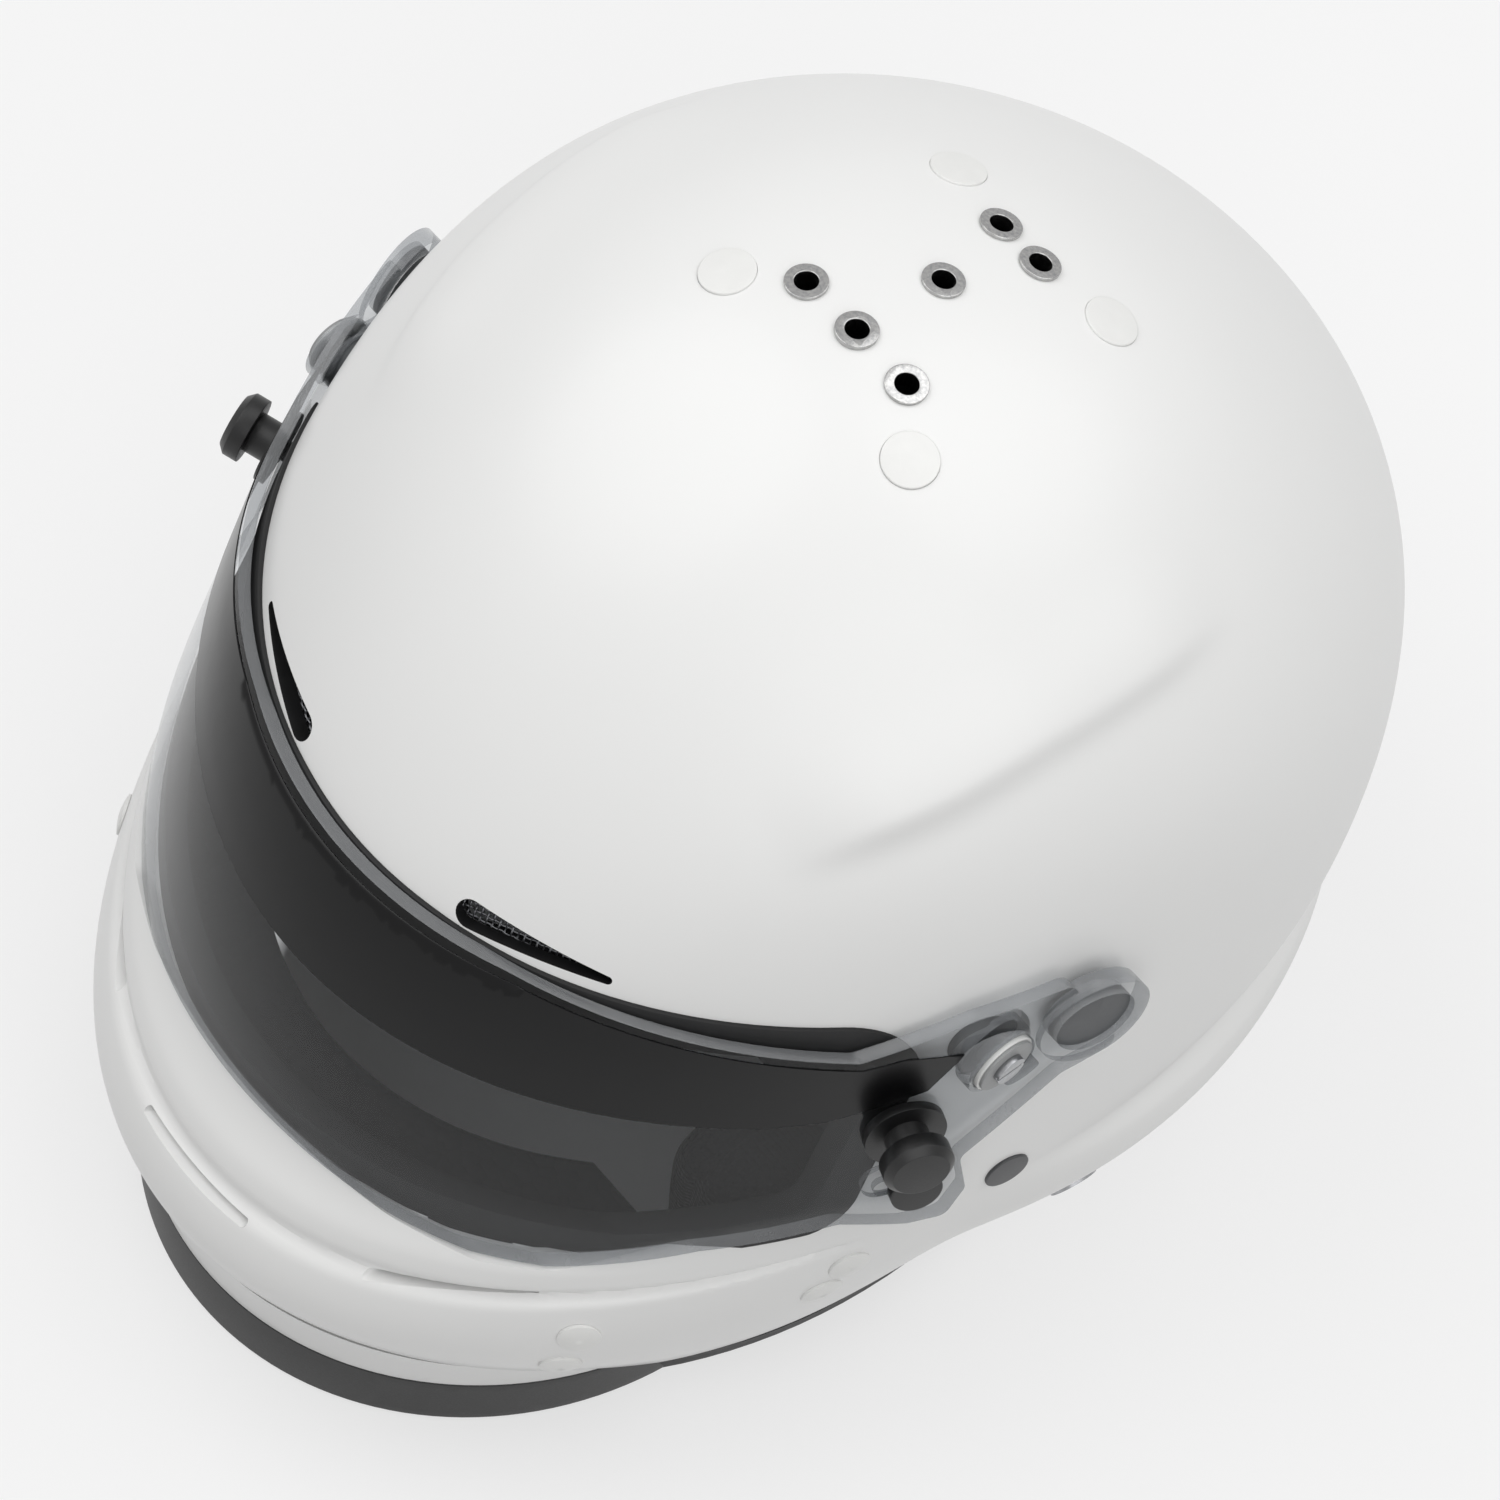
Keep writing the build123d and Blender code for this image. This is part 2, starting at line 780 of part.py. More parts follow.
with BuildPart() as left_caps:
    for plane in cap_planes:
        add(domed_cap(plane))
    add(skin, mode=Mode.SUBTRACT)
with BuildPart() as chin_caps:
    for side in both_sides(left_caps.part):
        add(side)

# Head restraint anchors
with BuildPart() as anchor_insert_left:
    add(plug(anchor_plane, anchor_radius, -anchor_depth, -anchor_plug_wall + anchor_rise))
    add(plug(anchor_plane, anchor_flange_radius, -anchor_depth, anchor_flange_wall - anchor_depth))
    add(plug(anchor_plane, anchor_bore_radius, -cut_over, cut_over), mode=Mode.SUBTRACT)
anchor_insert_right = mirrored(anchor_insert_left)

with BuildPart() as left_anchor_plug:
    add(plug(anchor_plane, anchor_radius, -anchor_plug_wall + anchor_rise, anchor_rise))
    add(plug(anchor_plane, anchor_bore_radius, -2 * anchor_plug_wall, 0))
with BuildPart() as anchor_plugs:
    for side in both_sides(left_anchor_plug.part):
        add(side)

# Chin spoiler and its lip
with BuildPart() as spoiler_lip:
    loft(
        sections=[
            front_face(lip_low, lip_low_front, lip_low_width, lip_low_centre),
            front_face(lip_top, lip_top_front, lip_top_width, lip_top_centre),
        ]
    )
    add(trim_form.part, mode=Mode.SUBTRACT)
    add(skin, mode=Mode.SUBTRACT)

with BuildPart() as chin_spoiler:
    loft(
        sections=[
            front_face(spoiler_low, lip_top_front, lip_top_width, lip_top_centre),
            front_face(spoiler_top, spoiler_top_front, spoiler_top_width, spoiler_top_centre),
        ]
    )
    add(skin, mode=Mode.SUBTRACT)


def shield_plane(place):
    """Plane on the wearer's left of the shield, with its X axis level and forward."""
    ray = Vector(1, 0, 0)
    plane = outward(shield_front.find_intersection_points(Axis((0, *place), ray)), ray)
    return Plane(origin=plane.origin, x_dir=plane.z_dir.cross(Vector(0, 0, 1)), z_dir=plane.z_dir)


post_plane = shield_plane(post_place)
lock_plane = shield_plane(lock_place)
spindle_base = post_barrel_rise + end_gap

# Shield with its pivot pads and arm rings
with BuildPart() as ring_rims:
    for side in both_sides(rod(ring_place, ring_radius, seat_face, half_width + cut_over)):
        add(side)
    add(shield_form(-ring_rise), mode=Mode.INTERSECT)
    add(shield_back, mode=Mode.SUBTRACT)

with BuildPart() as shield:
    add(shield_front)
    add(shield_back, mode=Mode.SUBTRACT)
    add(shield_prism, mode=Mode.INTERSECT)
    add(ring_rims.part)
    for side in both_sides(rod(pivot, collar_outer, seat_face + end_gap, collar_top)):
        add(side)
    cuts = [
        rod(pivot, collar_inner, pivot_height / 2, pad_inner),
        rod(pivot, collar_inner, pad_outer, half_width + cut_over),
        rod(pivot, shoulder_radius + running_gap, pivot_height / 2, half_width + cut_over),
        rod(ring_place, ring_hole_radius, pivot_height / 2, half_width + cut_over),
        plug(post_plane, post_stub_radius, -cut_over, cut_over),
    ]
    for cut in cuts:
        for side in both_sides(cut):
            add(side, mode=Mode.SUBTRACT)
    with BuildSketch(Plane.YZ):
        with BuildLine(mode=Mode.PRIVATE) as stop_arc:
            CenterArc(pivot, stop_circle, stop_angle, shield_opening)
        SlotArc(stop_arc.line.edge(), 2 * (stop_radius + stop_play))
    extrude(amount=half_width + cut_over, both=True, mode=Mode.SUBTRACT)
    with BuildSketch(lock_plane.offset(-cut_over / 2)):
        with Locations((lock_travel / 2, 0)):
            SlotCenterToCenter(lock_travel, 2 * (lock_stem_radius + lock_play))
    extrude(amount=cut_over, mode=Mode.SUBTRACT)
    with BuildSketch(lock_plane.offset(lock_plate_top + end_gap)):
        with Locations((lock_travel / 2, 0)):
            SlotCenterToCenter(lock_travel, 2 * (lock_plate_radius + lock_play))
    extrude(amount=-cut_over / 2, mode=Mode.SUBTRACT)

# Sun strip along the top of the shield
strip_points = [
    (far_front, strip_top_share * shell_height),
    *side_points(strip_shares),
    *side_points(strip_low_shares),
    (far_front, strip_low_share * shell_height),
]
with BuildPart() as sun_strip:
    add(shield_form(-strip_wall))
    add(shield_front, mode=Mode.SUBTRACT)
    add(side_prism(strip_points), mode=Mode.INTERSECT)
    add(shield.part, mode=Mode.SUBTRACT)
    for side in both_sides(plug(post_plane, post_base_radius + end_gap, -cut_over / 2, cut_over / 2)):
        add(side, mode=Mode.SUBTRACT)

# Tear-off posts
with BuildPart() as post_base_left:
    add(plug(post_plane, post_base_radius, -post_base_rise, post_base_rise))
    add(shield_front, mode=Mode.SUBTRACT)
    add(plug(post_plane, post_barrel_radius, post_base_rise, post_barrel_rise))
    add(plug(post_plane, spindle_radius, post_base_rise, spindle_rise))
    add(plug(post_plane, post_stub_radius, -shield_wall + end_gap, post_base_rise))
post_base_right = mirrored(post_base_left)

with BuildPart() as post_cap_left:
    with BuildSketch(post_plane.offset(spindle_base)):
        Circle(cap_radius)
    extrude(amount=cap_height)
    top_edge = post_cap_left.faces().sort_by(Axis(post_plane.origin, post_plane.z_dir))[-1].edges()
    chamfer(top_edge, cap_bevel)
    add(plug(post_plane, spindle_radius + running_gap, 0, spindle_base + cap_bore), mode=Mode.SUBTRACT)
    with BuildSketch(post_plane):
        with Locations((0, cap_radius)):
            Rectangle(cap_notch, cap_notch)
    extrude(amount=cut_over, mode=Mode.SUBTRACT)
post_cap_right = mirrored(post_cap_left)

# Lock button on the left ear
with BuildPart() as lock_button:
    add(plug(lock_plane, lock_radius, lock_lift, lock_lift + lock_head))
    add(plug(lock_plane, lock_stem_radius, lock_plate_top, lock_lift))
with BuildPart() as lock_plate:
    add(plug(lock_plane, lock_plate_radius, lock_plate_top - lock_plate_wall, lock_plate_top))

# Shield pivots
with BuildPart() as pivot_base_left:
    add(rod(pivot, boss_radius, seat_face - shell_wall, pad_inner - end_gap))
    add(rod(pivot, shoulder_radius, seat_face, shoulder_face))
    add(skin, mode=Mode.SUBTRACT)
    add(rod(pivot, screw_radius + running_gap, pivot_height / 2, half_width), mode=Mode.SUBTRACT)
pivot_base_right = mirrored(pivot_base_left)

with BuildPart() as left_spacers:
    add(rod(pivot, spacer_radius, pad_outer + end_gap, shoulder_face))
    add(rod(pivot, shoulder_radius, pad_outer, shoulder_face), mode=Mode.SUBTRACT)
with BuildPart() as pivot_spacers:
    for side in both_sides(left_spacers.part):
        add(side)

with BuildPart() as left_washer:
    add(rod(pivot, washer_radius, shoulder_face, washer_face))
    add(rod(pivot, screw_radius + running_gap, shoulder_face, washer_face), mode=Mode.SUBTRACT)
with BuildPart() as pivot_washers:
    for side in both_sides(left_washer.part):
        add(side)

with BuildPart() as left_screw:
    add(rod(pivot, screw_head_radius, washer_face, washer_face + screw_head_height))
    add(rod(pivot, screw_radius, nut_face - nut_wall, washer_face))
    with Locations((washer_face + screw_head_height, *pivot)):
        Box(2 * slot_depth, 2 * screw_head_radius, slot_width, mode=Mode.SUBTRACT)
with BuildPart() as pivot_screws:
    for side in both_sides(left_screw.part):
        add(side)

with BuildPart() as left_nut:
    add(rod(pivot, nut_radius, nut_face - nut_wall, nut_face))
    add(rod(pivot, shoulder_radius, nut_face, nut_face + shell_wall))
    add(outer_shell.part, mode=Mode.SUBTRACT)
    add(rod(pivot, screw_radius + running_gap, pivot_height / 2, half_width), mode=Mode.SUBTRACT)
with BuildPart() as pivot_nuts:
    for side in both_sides(left_nut.part):
        add(side)

with BuildPart() as left_stop_pin:
    add(rod(stop_place, stop_radius, stop_root, stop_face))
with BuildPart() as stop_pins:
    for side in both_sides(left_stop_pin.part):
        add(side)

# Discs in the arm rings
with BuildPart() as arm_disc_left:
    add(rod(ring_place, ring_hole_radius - running_gap, seat_face, half_width + cut_over))
    add(shield_form(-disc_rise), mode=Mode.INTERSECT)
    add(shield_form(disc_wall - disc_rise), mode=Mode.SUBTRACT)
arm_disc_right = mirrored(arm_disc_left)

pieces = {
    "outer_shell": outer_shell,
    "eyeport_gasket": eyeport_gasket,
    "base_edge_trim": base_edge_trim,
    "impact_liner": impact_liner,
    "chin_liner": chin_liner,
    "crown_pad": crown_pad,
    "cheek_pad_left": cheek_pad_left,
    "cheek_pad_right": cheek_pad_right,
    "nape_pad": nape_pad,
    "chin_strap_left": chin_strap_left,
    "chin_strap_right": chin_strap_right,
    "d_ring_outer": d_ring_outer,
    "d_ring_inner": d_ring_inner,
    "strap_snap": strap_snap,
    "strap_rivets": strap_rivets,
    "brow_vent_mesh_left": brow_vent_mesh_left,
    "brow_vent_mesh_right": brow_vent_mesh_right,
    "chin_vent_mesh": chin_vent_mesh,
    "crown_eyelets": crown_eyelets,
    "crown_plugs": crown_plugs,
    "chin_caps": chin_caps,
    "anchor_insert_left": anchor_insert_left,
    "anchor_insert_right": anchor_insert_right,
    "anchor_plugs": anchor_plugs,
    "chin_spoiler": chin_spoiler,
    "spoiler_lip": spoiler_lip,
    "shield": shield,
    "sun_strip": sun_strip,
    "post_base_left": post_base_left,
    "post_base_right": post_base_right,
    "post_cap_left": post_cap_left,
    "post_cap_right": post_cap_right,
    "lock_button": lock_button,
    "lock_plate": lock_plate,
    "pivot_base_left": pivot_base_left,
    "pivot_base_right": pivot_base_right,
    "pivot_spacers": pivot_spacers,
    "pivot_washers": pivot_washers,
    "pivot_screws": pivot_screws,
    "pivot_nuts": pivot_nuts,
    "stop_pins": stop_pins,
    "arm_disc_left": arm_disc_left,
    "arm_disc_right": arm_disc_right,
}
for name, piece in pieces.items():
    piece.part.label = name
    export_step(piece.part, f"parts/{name}.step")
    print(name, piece.part.is_valid, len(piece.part.solids()), round(piece.part.volume))

whole = Compound([piece.part for piece in pieces.values()]).bounding_box()
print("overall", whole.min, whole.max)
print("post", post_plane.origin, post_plane.z_dir)
print("lock", lock_plane.origin, lock_plane.x_dir, lock_plane.z_dir)
print("anchor", anchor_plane.origin, anchor_plane.z_dir)
print("rivet", rivet_plane.origin, rivet_plane.z_dir)
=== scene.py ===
"""Auto racing helmet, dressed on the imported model. Metres, +Z up, the wearer faces -Y."""

import json
import math

import bmesh
import bpy
import numpy as np
from mathutils import Matrix, Vector
from mathutils.bvhtree import BVHTree


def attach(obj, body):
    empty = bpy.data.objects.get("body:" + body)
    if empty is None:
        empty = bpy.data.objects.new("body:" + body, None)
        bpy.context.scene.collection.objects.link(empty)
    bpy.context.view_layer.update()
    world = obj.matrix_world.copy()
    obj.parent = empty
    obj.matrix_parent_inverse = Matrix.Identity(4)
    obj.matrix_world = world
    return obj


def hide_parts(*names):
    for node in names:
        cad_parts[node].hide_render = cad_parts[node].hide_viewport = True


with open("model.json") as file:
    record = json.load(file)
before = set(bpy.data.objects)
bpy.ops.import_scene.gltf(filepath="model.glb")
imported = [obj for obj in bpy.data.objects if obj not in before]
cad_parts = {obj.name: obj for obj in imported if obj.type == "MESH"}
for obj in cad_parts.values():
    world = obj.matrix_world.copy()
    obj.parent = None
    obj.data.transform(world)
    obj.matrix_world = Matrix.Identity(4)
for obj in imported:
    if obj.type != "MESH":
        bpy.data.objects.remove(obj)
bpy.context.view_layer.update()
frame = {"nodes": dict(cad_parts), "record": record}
MM = 0.001
LEFT, RIGHT = 1, -1


# Colours and nodes
def linear(code, alpha=1.0):
    """Linear colour of an sRGB hex value."""
    parts = [int(code[i:i + 2], 16) / 255 for i in (0, 2, 4)]
    return (*[c / 12.92 if c <= 0.04045 else ((c + 0.055) / 1.055) ** 2.4 for c in parts], alpha)


def node(material, kind, sockets=None, **settings):
    """Adds a node: settings go on it, sockets take a value or a link."""
    made = material.node_tree.nodes.new("ShaderNode" + kind)
    for name, value in settings.items():
        setattr(made, name, value)
    for name, value in (sockets or {}).items():
        if isinstance(value, bpy.types.NodeSocket):
            material.node_tree.links.new(value, made.inputs[name])
        else:
            made.inputs[name].default_value = value
    return made


def start_material(name):
    """Empty material with its object coordinates, which are metres here."""
    material = bpy.data.materials.new(name)
    material.use_nodes = True
    material.node_tree.nodes.clear()
    return material, node(material, "TexCoord").outputs["Object"]


def finish_material(material, sockets):
    """Ends a material in one surface shader."""
    shader = node(material, "BsdfPrincipled", sockets)
    node(material, "OutputMaterial", {"Surface": shader.outputs["BSDF"]})
    return material


def per_mm(size):
    """Pattern scale for a grain of that size in millimetres."""
    return 1 / (size * MM)


def grain(material, place, size, detail=2.0):
    """Noise whose grain has the size in millimetres."""
    sockets = {"Vector": place, "Scale": per_mm(size), "Detail": detail}
    return node(material, "TexNoise", sockets).outputs["Fac"]


def relief(material, height, depth, strength=1.0, under=None):
    """Bump from a height between 0 and 1, its depth in millimetres."""
    sockets = {"Height": height, "Distance": depth * MM, "Strength": strength}
    if under:
        sockets["Normal"] = under
    return node(material, "Bump", sockets).outputs["Normal"]


def shift(material, fac, low, high):
    """Value that goes with a factor from low to high."""
    return node(material, "MapRange", {"Value": fac, "To Min": low, "To Max": high}).outputs["Result"]


def blend_colours(material, fac, first, second):
    """Colour between two hex values."""
    mix = node(material, "Mix", data_type="RGBA")
    material.node_tree.links.new(fac, mix.inputs["Factor"])
    mix.inputs[6].default_value = linear(first)
    mix.inputs[7].default_value = linear(second)
    return mix.outputs[2]


# Gelcoated glass fibre under a clear coat: even white with a faint waviness from polishing
def gelcoat_white():
    m, place = start_material("gelcoat_white")
    waves = grain(m, place, 14.0, 1.0)
    return finish_material(m, {
        "Base Color": blend_colours(m, grain(m, place, 60.0), "EBEBEA", "EEEEED"),
        "Roughness": shift(m, waves, 0.34, 0.38),
        "Coat Weight": 0.2, "Coat Roughness": 0.2, "Coat IOR": 1.5, "IOR": 1.45,
        "Normal": relief(m, waves, 0.008),
    })


# EPDM rubber, extruded: soft black with a dusty bloom
def epdm_rubber(name="epdm_rubber", code="0B0B0C", other="151516"):
    m, place = start_material(name)
    dust = grain(m, place, 2.5, 4.0)
    return finish_material(m, {
        "Base Color": blend_colours(m, dust, code, other),
        "Roughness": shift(m, dust, 0.55, 0.72), "IOR": 1.5,
        "Normal": relief(m, grain(m, place, 0.6), 0.03),
    })


def see_through(name, tint, gloss, rough, body=None, cover=0.0):
    """Clear plastic: tinted light straight through, and a mirror that grows towards the grazing edge.

    A body colour covers the given share of it. Light that leaves the plastic isn't mirrored back.
    """
    m, place = start_material(name)
    clear = node(m, "BsdfTransparent", {"Color": linear(tint)}).outputs[0]
    if body:
        solid = node(m, "BsdfPrincipled", {
            "Base Color": blend_colours(m, grain(m, place, 3.0), *body), "Roughness": rough, "IOR": 1.58,
        }).outputs[0]
        part = node(m, "MixShader", {"Fac": cover})
        m.node_tree.links.new(clear, part.inputs[1])
        m.node_tree.links.new(solid, part.inputs[2])
        clear = part.outputs[0]
    mirror = node(m, "BsdfGlossy", {"Color": linear(gloss), "Roughness": rough}).outputs[0]
    inside = node(m, "NewGeometry").outputs["Backfacing"]
    outside = node(m, "Math", {0: 1.0, 1: inside}, operation="SUBTRACT")
    share = node(m, "Fresnel", {"IOR": 1.4}).outputs["Fac"]
    share = node(m, "Math", {0: share, 1: outside.outputs[0]}, operation="MULTIPLY")
    both = node(m, "MixShader", {"Fac": share.outputs[0]})
    m.node_tree.links.new(clear, both.inputs[1])
    m.node_tree.links.new(mirror, both.inputs[2])
    node(m, "OutputMaterial", {"Surface": both.outputs[0]})
    return m


# Polycarbonate, moulded and hard coated: clear with a light smoke
def polycarbonate_clear():
    return see_through("polycarbonate_clear", "EEEFF0", "F2F2F2", 0.06)


# Sawn and polished rim of the polycarbonate: milky grey
def polycarbonate_rim():
    return see_through("polycarbonate_rim", "D6D8DA", "E6E6E6", 0.25, ("9A9C9F", "A9ABAD"), 0.4)


# Calendered vinyl film: deep black under a gloss face
def vinyl_film():
    m, place = start_material("vinyl_film")
    return finish_material(m, {
        "Base Color": blend_colours(m, grain(m, place, 40.0), "060607", "0A0A0B"),
        "Roughness": shift(m, grain(m, place, 12.0), 0.2, 0.26), "IOR": 1.35,
        "Normal": relief(m, grain(m, place, 5.0), 0.01),
    })


# Nylon, injection moulded: fine spark texture
def nylon(name, code, other, rough=0.35):
    m, place = start_material(name)
    spark = grain(m, place, 0.5)
    return finish_material(m, {
        "Base Color": blend_colours(m, grain(m, place, 4.0), code, other),
        "Roughness": shift(m, spark, rough, rough + 0.1), "IOR": 1.53,
        "Normal": relief(m, spark, 0.02),
    })


# Stainless steel, turned: fine rings are too small to see and show as a soft streak
def stainless(name="stainless_steel", code="B9BABC", rough=0.25):
    m, place = start_material(name)
    streak = grain(m, place, 0.8, 3.0)
    return finish_material(m, {
        "Base Color": blend_colours(m, streak, code, "8F9093"), "Metallic": 1.0,
        "Roughness": shift(m, streak, rough, rough + 0.14),
        "Normal": relief(m, streak, 0.01),
    })


# Expanded polystyrene, moulded black: packed beads 3 mm across
def bead_foam():
    m, place = start_material("bead_foam")
    beads = node(m, "TexVoronoi", {"Vector": place, "Scale": per_mm(3.2)}).outputs["Distance"]
    return finish_material(m, {
        "Base Color": blend_colours(m, beads, "151517", "0C0C0E"),
        "Roughness": 0.82, "IOR": 1.45,
        "Normal": relief(m, beads, -0.5),
    })


# Brushed knit over foam: loops 0.9 mm apart, drawn at 1.3 mm so that they show
def brushed_knit(name="brushed_knit", code="121214", other="1C1C1F"):
    m, place = start_material(name)
    sockets = {"Vector": place, "Scale": per_mm(1.3), "Randomness": 0.35}
    loops = node(m, "TexVoronoi", sockets).outputs["Distance"]
    fuzz = grain(m, place, 0.5, 3.0)
    return finish_material(m, {
        "Base Color": blend_colours(m, shift(m, loops, 0.0, 1.4), other, code),
        "Roughness": 0.92, "Sheen Weight": 0.12, "Sheen Roughness": 0.5,
        "Normal": relief(m, fuzz, 0.12, 0.6, relief(m, loops, -0.35)),
    })


# Polyester webbing, plain weave: ribs 1.6 mm apart across the strap
def webbing():
    m, place = start_material("polyester_webbing")
    ribs = node(m, "TexWave", {"Vector": place, "Scale": per_mm(1.6) / 20, "Distortion": 0.6,
                               "Detail Scale": 4.0}, bands_direction="Z").outputs["Fac"]
    sockets = {"Vector": place, "Scale": per_mm(1.3) / 20}
    cross = node(m, "TexWave", sockets, bands_direction="Y").outputs["Fac"]
    return finish_material(m, {
        "Base Color": blend_colours(m, ribs, "0E0E0F", "1D1D1F"),
        "Roughness": 0.8, "Sheen Weight": 0.15, "Sheen Roughness": 0.4,
        "Normal": relief(m, cross, 0.15, 0.7, relief(m, ribs, 0.3)),
    })


WHITE = gelcoat_white()
RUBBER = epdm_rubber()
CLEAR = polycarbonate_clear()
RIM = polycarbonate_rim()
FILM = vinyl_film()
BLACK = nylon("nylon_black", "080809", "0F0F10")
GREY = nylon("nylon_grey", "484A4C", "525456", 0.4)
WASHER = nylon("nylon_light_grey", "8E8F90", "989999", 0.4)
MILKY = nylon("nylon_milky", "DADAD8", "E4E4E2", 0.3)
CAP = nylon("nylon_white", "E6E6E4", "ECECEA", 0.25)
LIP = nylon("abs_black", "0B0B0C", "121213", 0.42)
STEEL = stainless()
NICKEL = stainless("nickel_plate", "D2D1CE", 0.12)
FOAM = bead_foam()
KNIT = brushed_knit()
SOFT = brushed_knit("brushed_knit_light", "161618", "222225")
WEB = webbing()
WIRE = stainless("black_wire", "6E6F72", 0.35)


# The shell's own form, repeated from the part in millimetres
LENGTH, WIDTH, HEIGHT, WALL = 315.0, 252.0, 255.0, 4.5
REACH, HALF, CROWN = LENGTH / 2, WIDTH / 2, 0.11
LEVELS = (0, 0.118, 0.2275, 0.361, 0.408, 0.494, 0.6275, 0.765, 0.878, 0.955, 0.989)
FRONTS = (0.81, 0.911, 1, 0.898, 0.848, 0.79, 0.737, 0.59, 0.394, 0.187, 0.019)
REARS = (0.727, 0.778, 0.825, 0.95, 0.973, 0.999, 1.005, 0.887, 0.7, 0.486, 0.286)
WIDTHS = (0.73, 0.81, 0.878, 0.958, 0.974, 0.975, 0.937, 0.844, 0.661, 0.4286, 0.222)
WIDEST = (-0.054, -0.079, -0.085, 0.068, 0.147, 0.222, 0.245, 0.177, 0.143, 0.137, 0.121)
FLARE_LEVELS = (0.1, 0.16, 0.235, 0.33, 0.385)
FLARE_FRONT = 0.635
FLARE_REARS = (0.75, 0.806, 0.863, 0.971, 0.952)
FLARE_WIDTHS = (0.76, 0.853, 0.9325, 1, 0.964)
FLARE_WIDEST = (0.045, 0.073, 0.101, 0.155, 0.148)
SHIELD_LEVELS = (0.345, 0.47, 0.588, 0.667, 0.745)
SHIELD_FRONTS = (0.898, 0.857, 0.8, 0.74, 0.654)
SHIELD_WIDTHS = (1.08, 1.04, 1.002, 0.993, 0.978)
SHIELD_CENTRE = 0.31 * REACH


def natural_spline(knots, values, at):
    """Natural cubic through the values, for each place asked."""
    x, y = np.asarray(knots, float), np.asarray(values, float)
    n, h = len(x), np.diff(x)
    system, right = np.eye(n), np.zeros(n)
    for i in range(1, n - 1):
        system[i, i - 1:i + 2] = h[i - 1], 2 * (h[i - 1] + h[i]), h[i]
        right[i] = 6 * ((y[i + 1] - y[i]) / h[i] - (y[i] - y[i - 1]) / h[i - 1])
    bend = np.linalg.solve(system, right)
    at = np.asarray(at, float)
    i = np.clip(np.searchsorted(x, at) - 1, 0, n - 2)
    a, b = (x[i + 1] - at) / h[i], (at - x[i]) / h[i]
    curve = ((a**3 - a) * bend[i] + (b**3 - b) * bend[i + 1]) * h[i] ** 2 / 6
    return a * y[i] + b * y[i + 1] + curve


class Form:
    """Stack of level ovals: front reach, rear reach and half width at each height."""

    def __init__(self, levels, fronts, rears, widths, middles):
        rows = [np.asarray(v, float) for v in (levels, fronts, rears, widths, middles)]
        steps = np.hypot(np.diff(rows[0]), np.diff(rows[3]))
        self.knots = np.append(0, np.cumsum(steps))
        self.rows = rows
        self.fine = np.linspace(0, self.knots[-1], 3000)
        self.heights = natural_spline(self.knots, rows[0], self.fine)

    def along(self, at):
        """Height, front, rear, width and middle at places along the stack."""
        return [natural_spline(self.knots, row, at) for row in self.rows]

    def at_height(self, z):
        """Front, rear, width and middle at heights."""
        return self.along(np.interp(z, self.heights, self.fine))[1:]


def head_form(inset):
    r, w, h = REACH - inset, HALF - inset, HEIGHT - inset
    middles = [v * r for v in WIDEST]
    return Form(
        [*[v * h for v in LEVELS], h],
        [*[a * r + m for a, m in zip(FRONTS, middles)], 0],
        [*[b * r - m for b, m in zip(REARS, middles)], 0],
        [*[c * w for c in WIDTHS], 0],
        [*middles, CROWN * r],
    )


def flare_form():
    middles = [v * REACH for v in FLARE_WIDEST]
    return Form(
        [v * HEIGHT for v in FLARE_LEVELS],
        [FLARE_FRONT * REACH + m for m in middles],
        [b * REACH - m for b, m in zip(FLARE_REARS, middles)],
        [c * HALF for c in FLARE_WIDTHS],
        middles,
    )


def shield_form(inset):
    return Form(
        [v * HEIGHT for v in SHIELD_LEVELS],
        [a * REACH - inset + SHIELD_CENTRE for a in SHIELD_FRONTS],
        [REACH] * len(SHIELD_LEVELS),
        [c * HALF - inset for c in SHIELD_WIDTHS],
        [SHIELD_CENTRE] * len(SHIELD_LEVELS),
    )


HEAD, FLARE = head_form(0), flare_form()


def ratio(form, points):
    """Under 1 inside the form's level oval, over 1 outside it."""
    front, rear, width, middle = form.at_height(points[:, 2])
    dy = points[:, 1] - middle
    reach = np.maximum(np.where(dy < 0, front, rear), 0.1)
    return np.hypot(points[:, 0] / np.maximum(width, 0.1), dy / reach)


def smooth_step(value, low, high):
    t = np.clip((value - low) / (high - low), 0, 1)
    return t * t * (3 - 2 * t)


# Mesh helpers
def new_object(name, points, faces, material, smooth_over=35):
    """Mesh object from millimetre points, smooth except at edges sharper than the angle."""
    mesh = bpy.data.meshes.new(name)
    mesh.from_pydata([tuple(MM * c for c in p) for p in points], [], [tuple(f) for f in faces])
    mesh.validate()
    made = bpy.data.objects.new(name, mesh)
    bpy.context.scene.collection.objects.link(made)
    finish_mesh(made, material, smooth_over)
    return made


def finish_mesh(made, material, smooth_over=35):
    mesh = made.data
    if not len(mesh.materials):
        mesh.materials.append(material)
    mesh.shade_smooth()
    mesh.set_sharp_from_angle(angle=math.radians(smooth_over))


def apply_modifiers(made):
    """Replaces the object's mesh by what its modifiers make of it."""
    graph = bpy.context.evaluated_depsgraph_get()
    mesh = bpy.data.meshes.new_from_object(made.evaluated_get(graph))
    made.modifiers.clear()
    made.data = mesh
    return made


def grid_faces(rows, around, first=0, flip=False):
    """Quads of a closed band of rows."""
    faces = []
    for i in range(rows - 1):
        for j in range(around):
            k = (j + 1) % around
            quad = [first + i * around + j, first + i * around + k,
                    first + (i + 1) * around + k, first + (i + 1) * around + j]
            faces.append(quad[::-1] if flip else quad)
    return faces


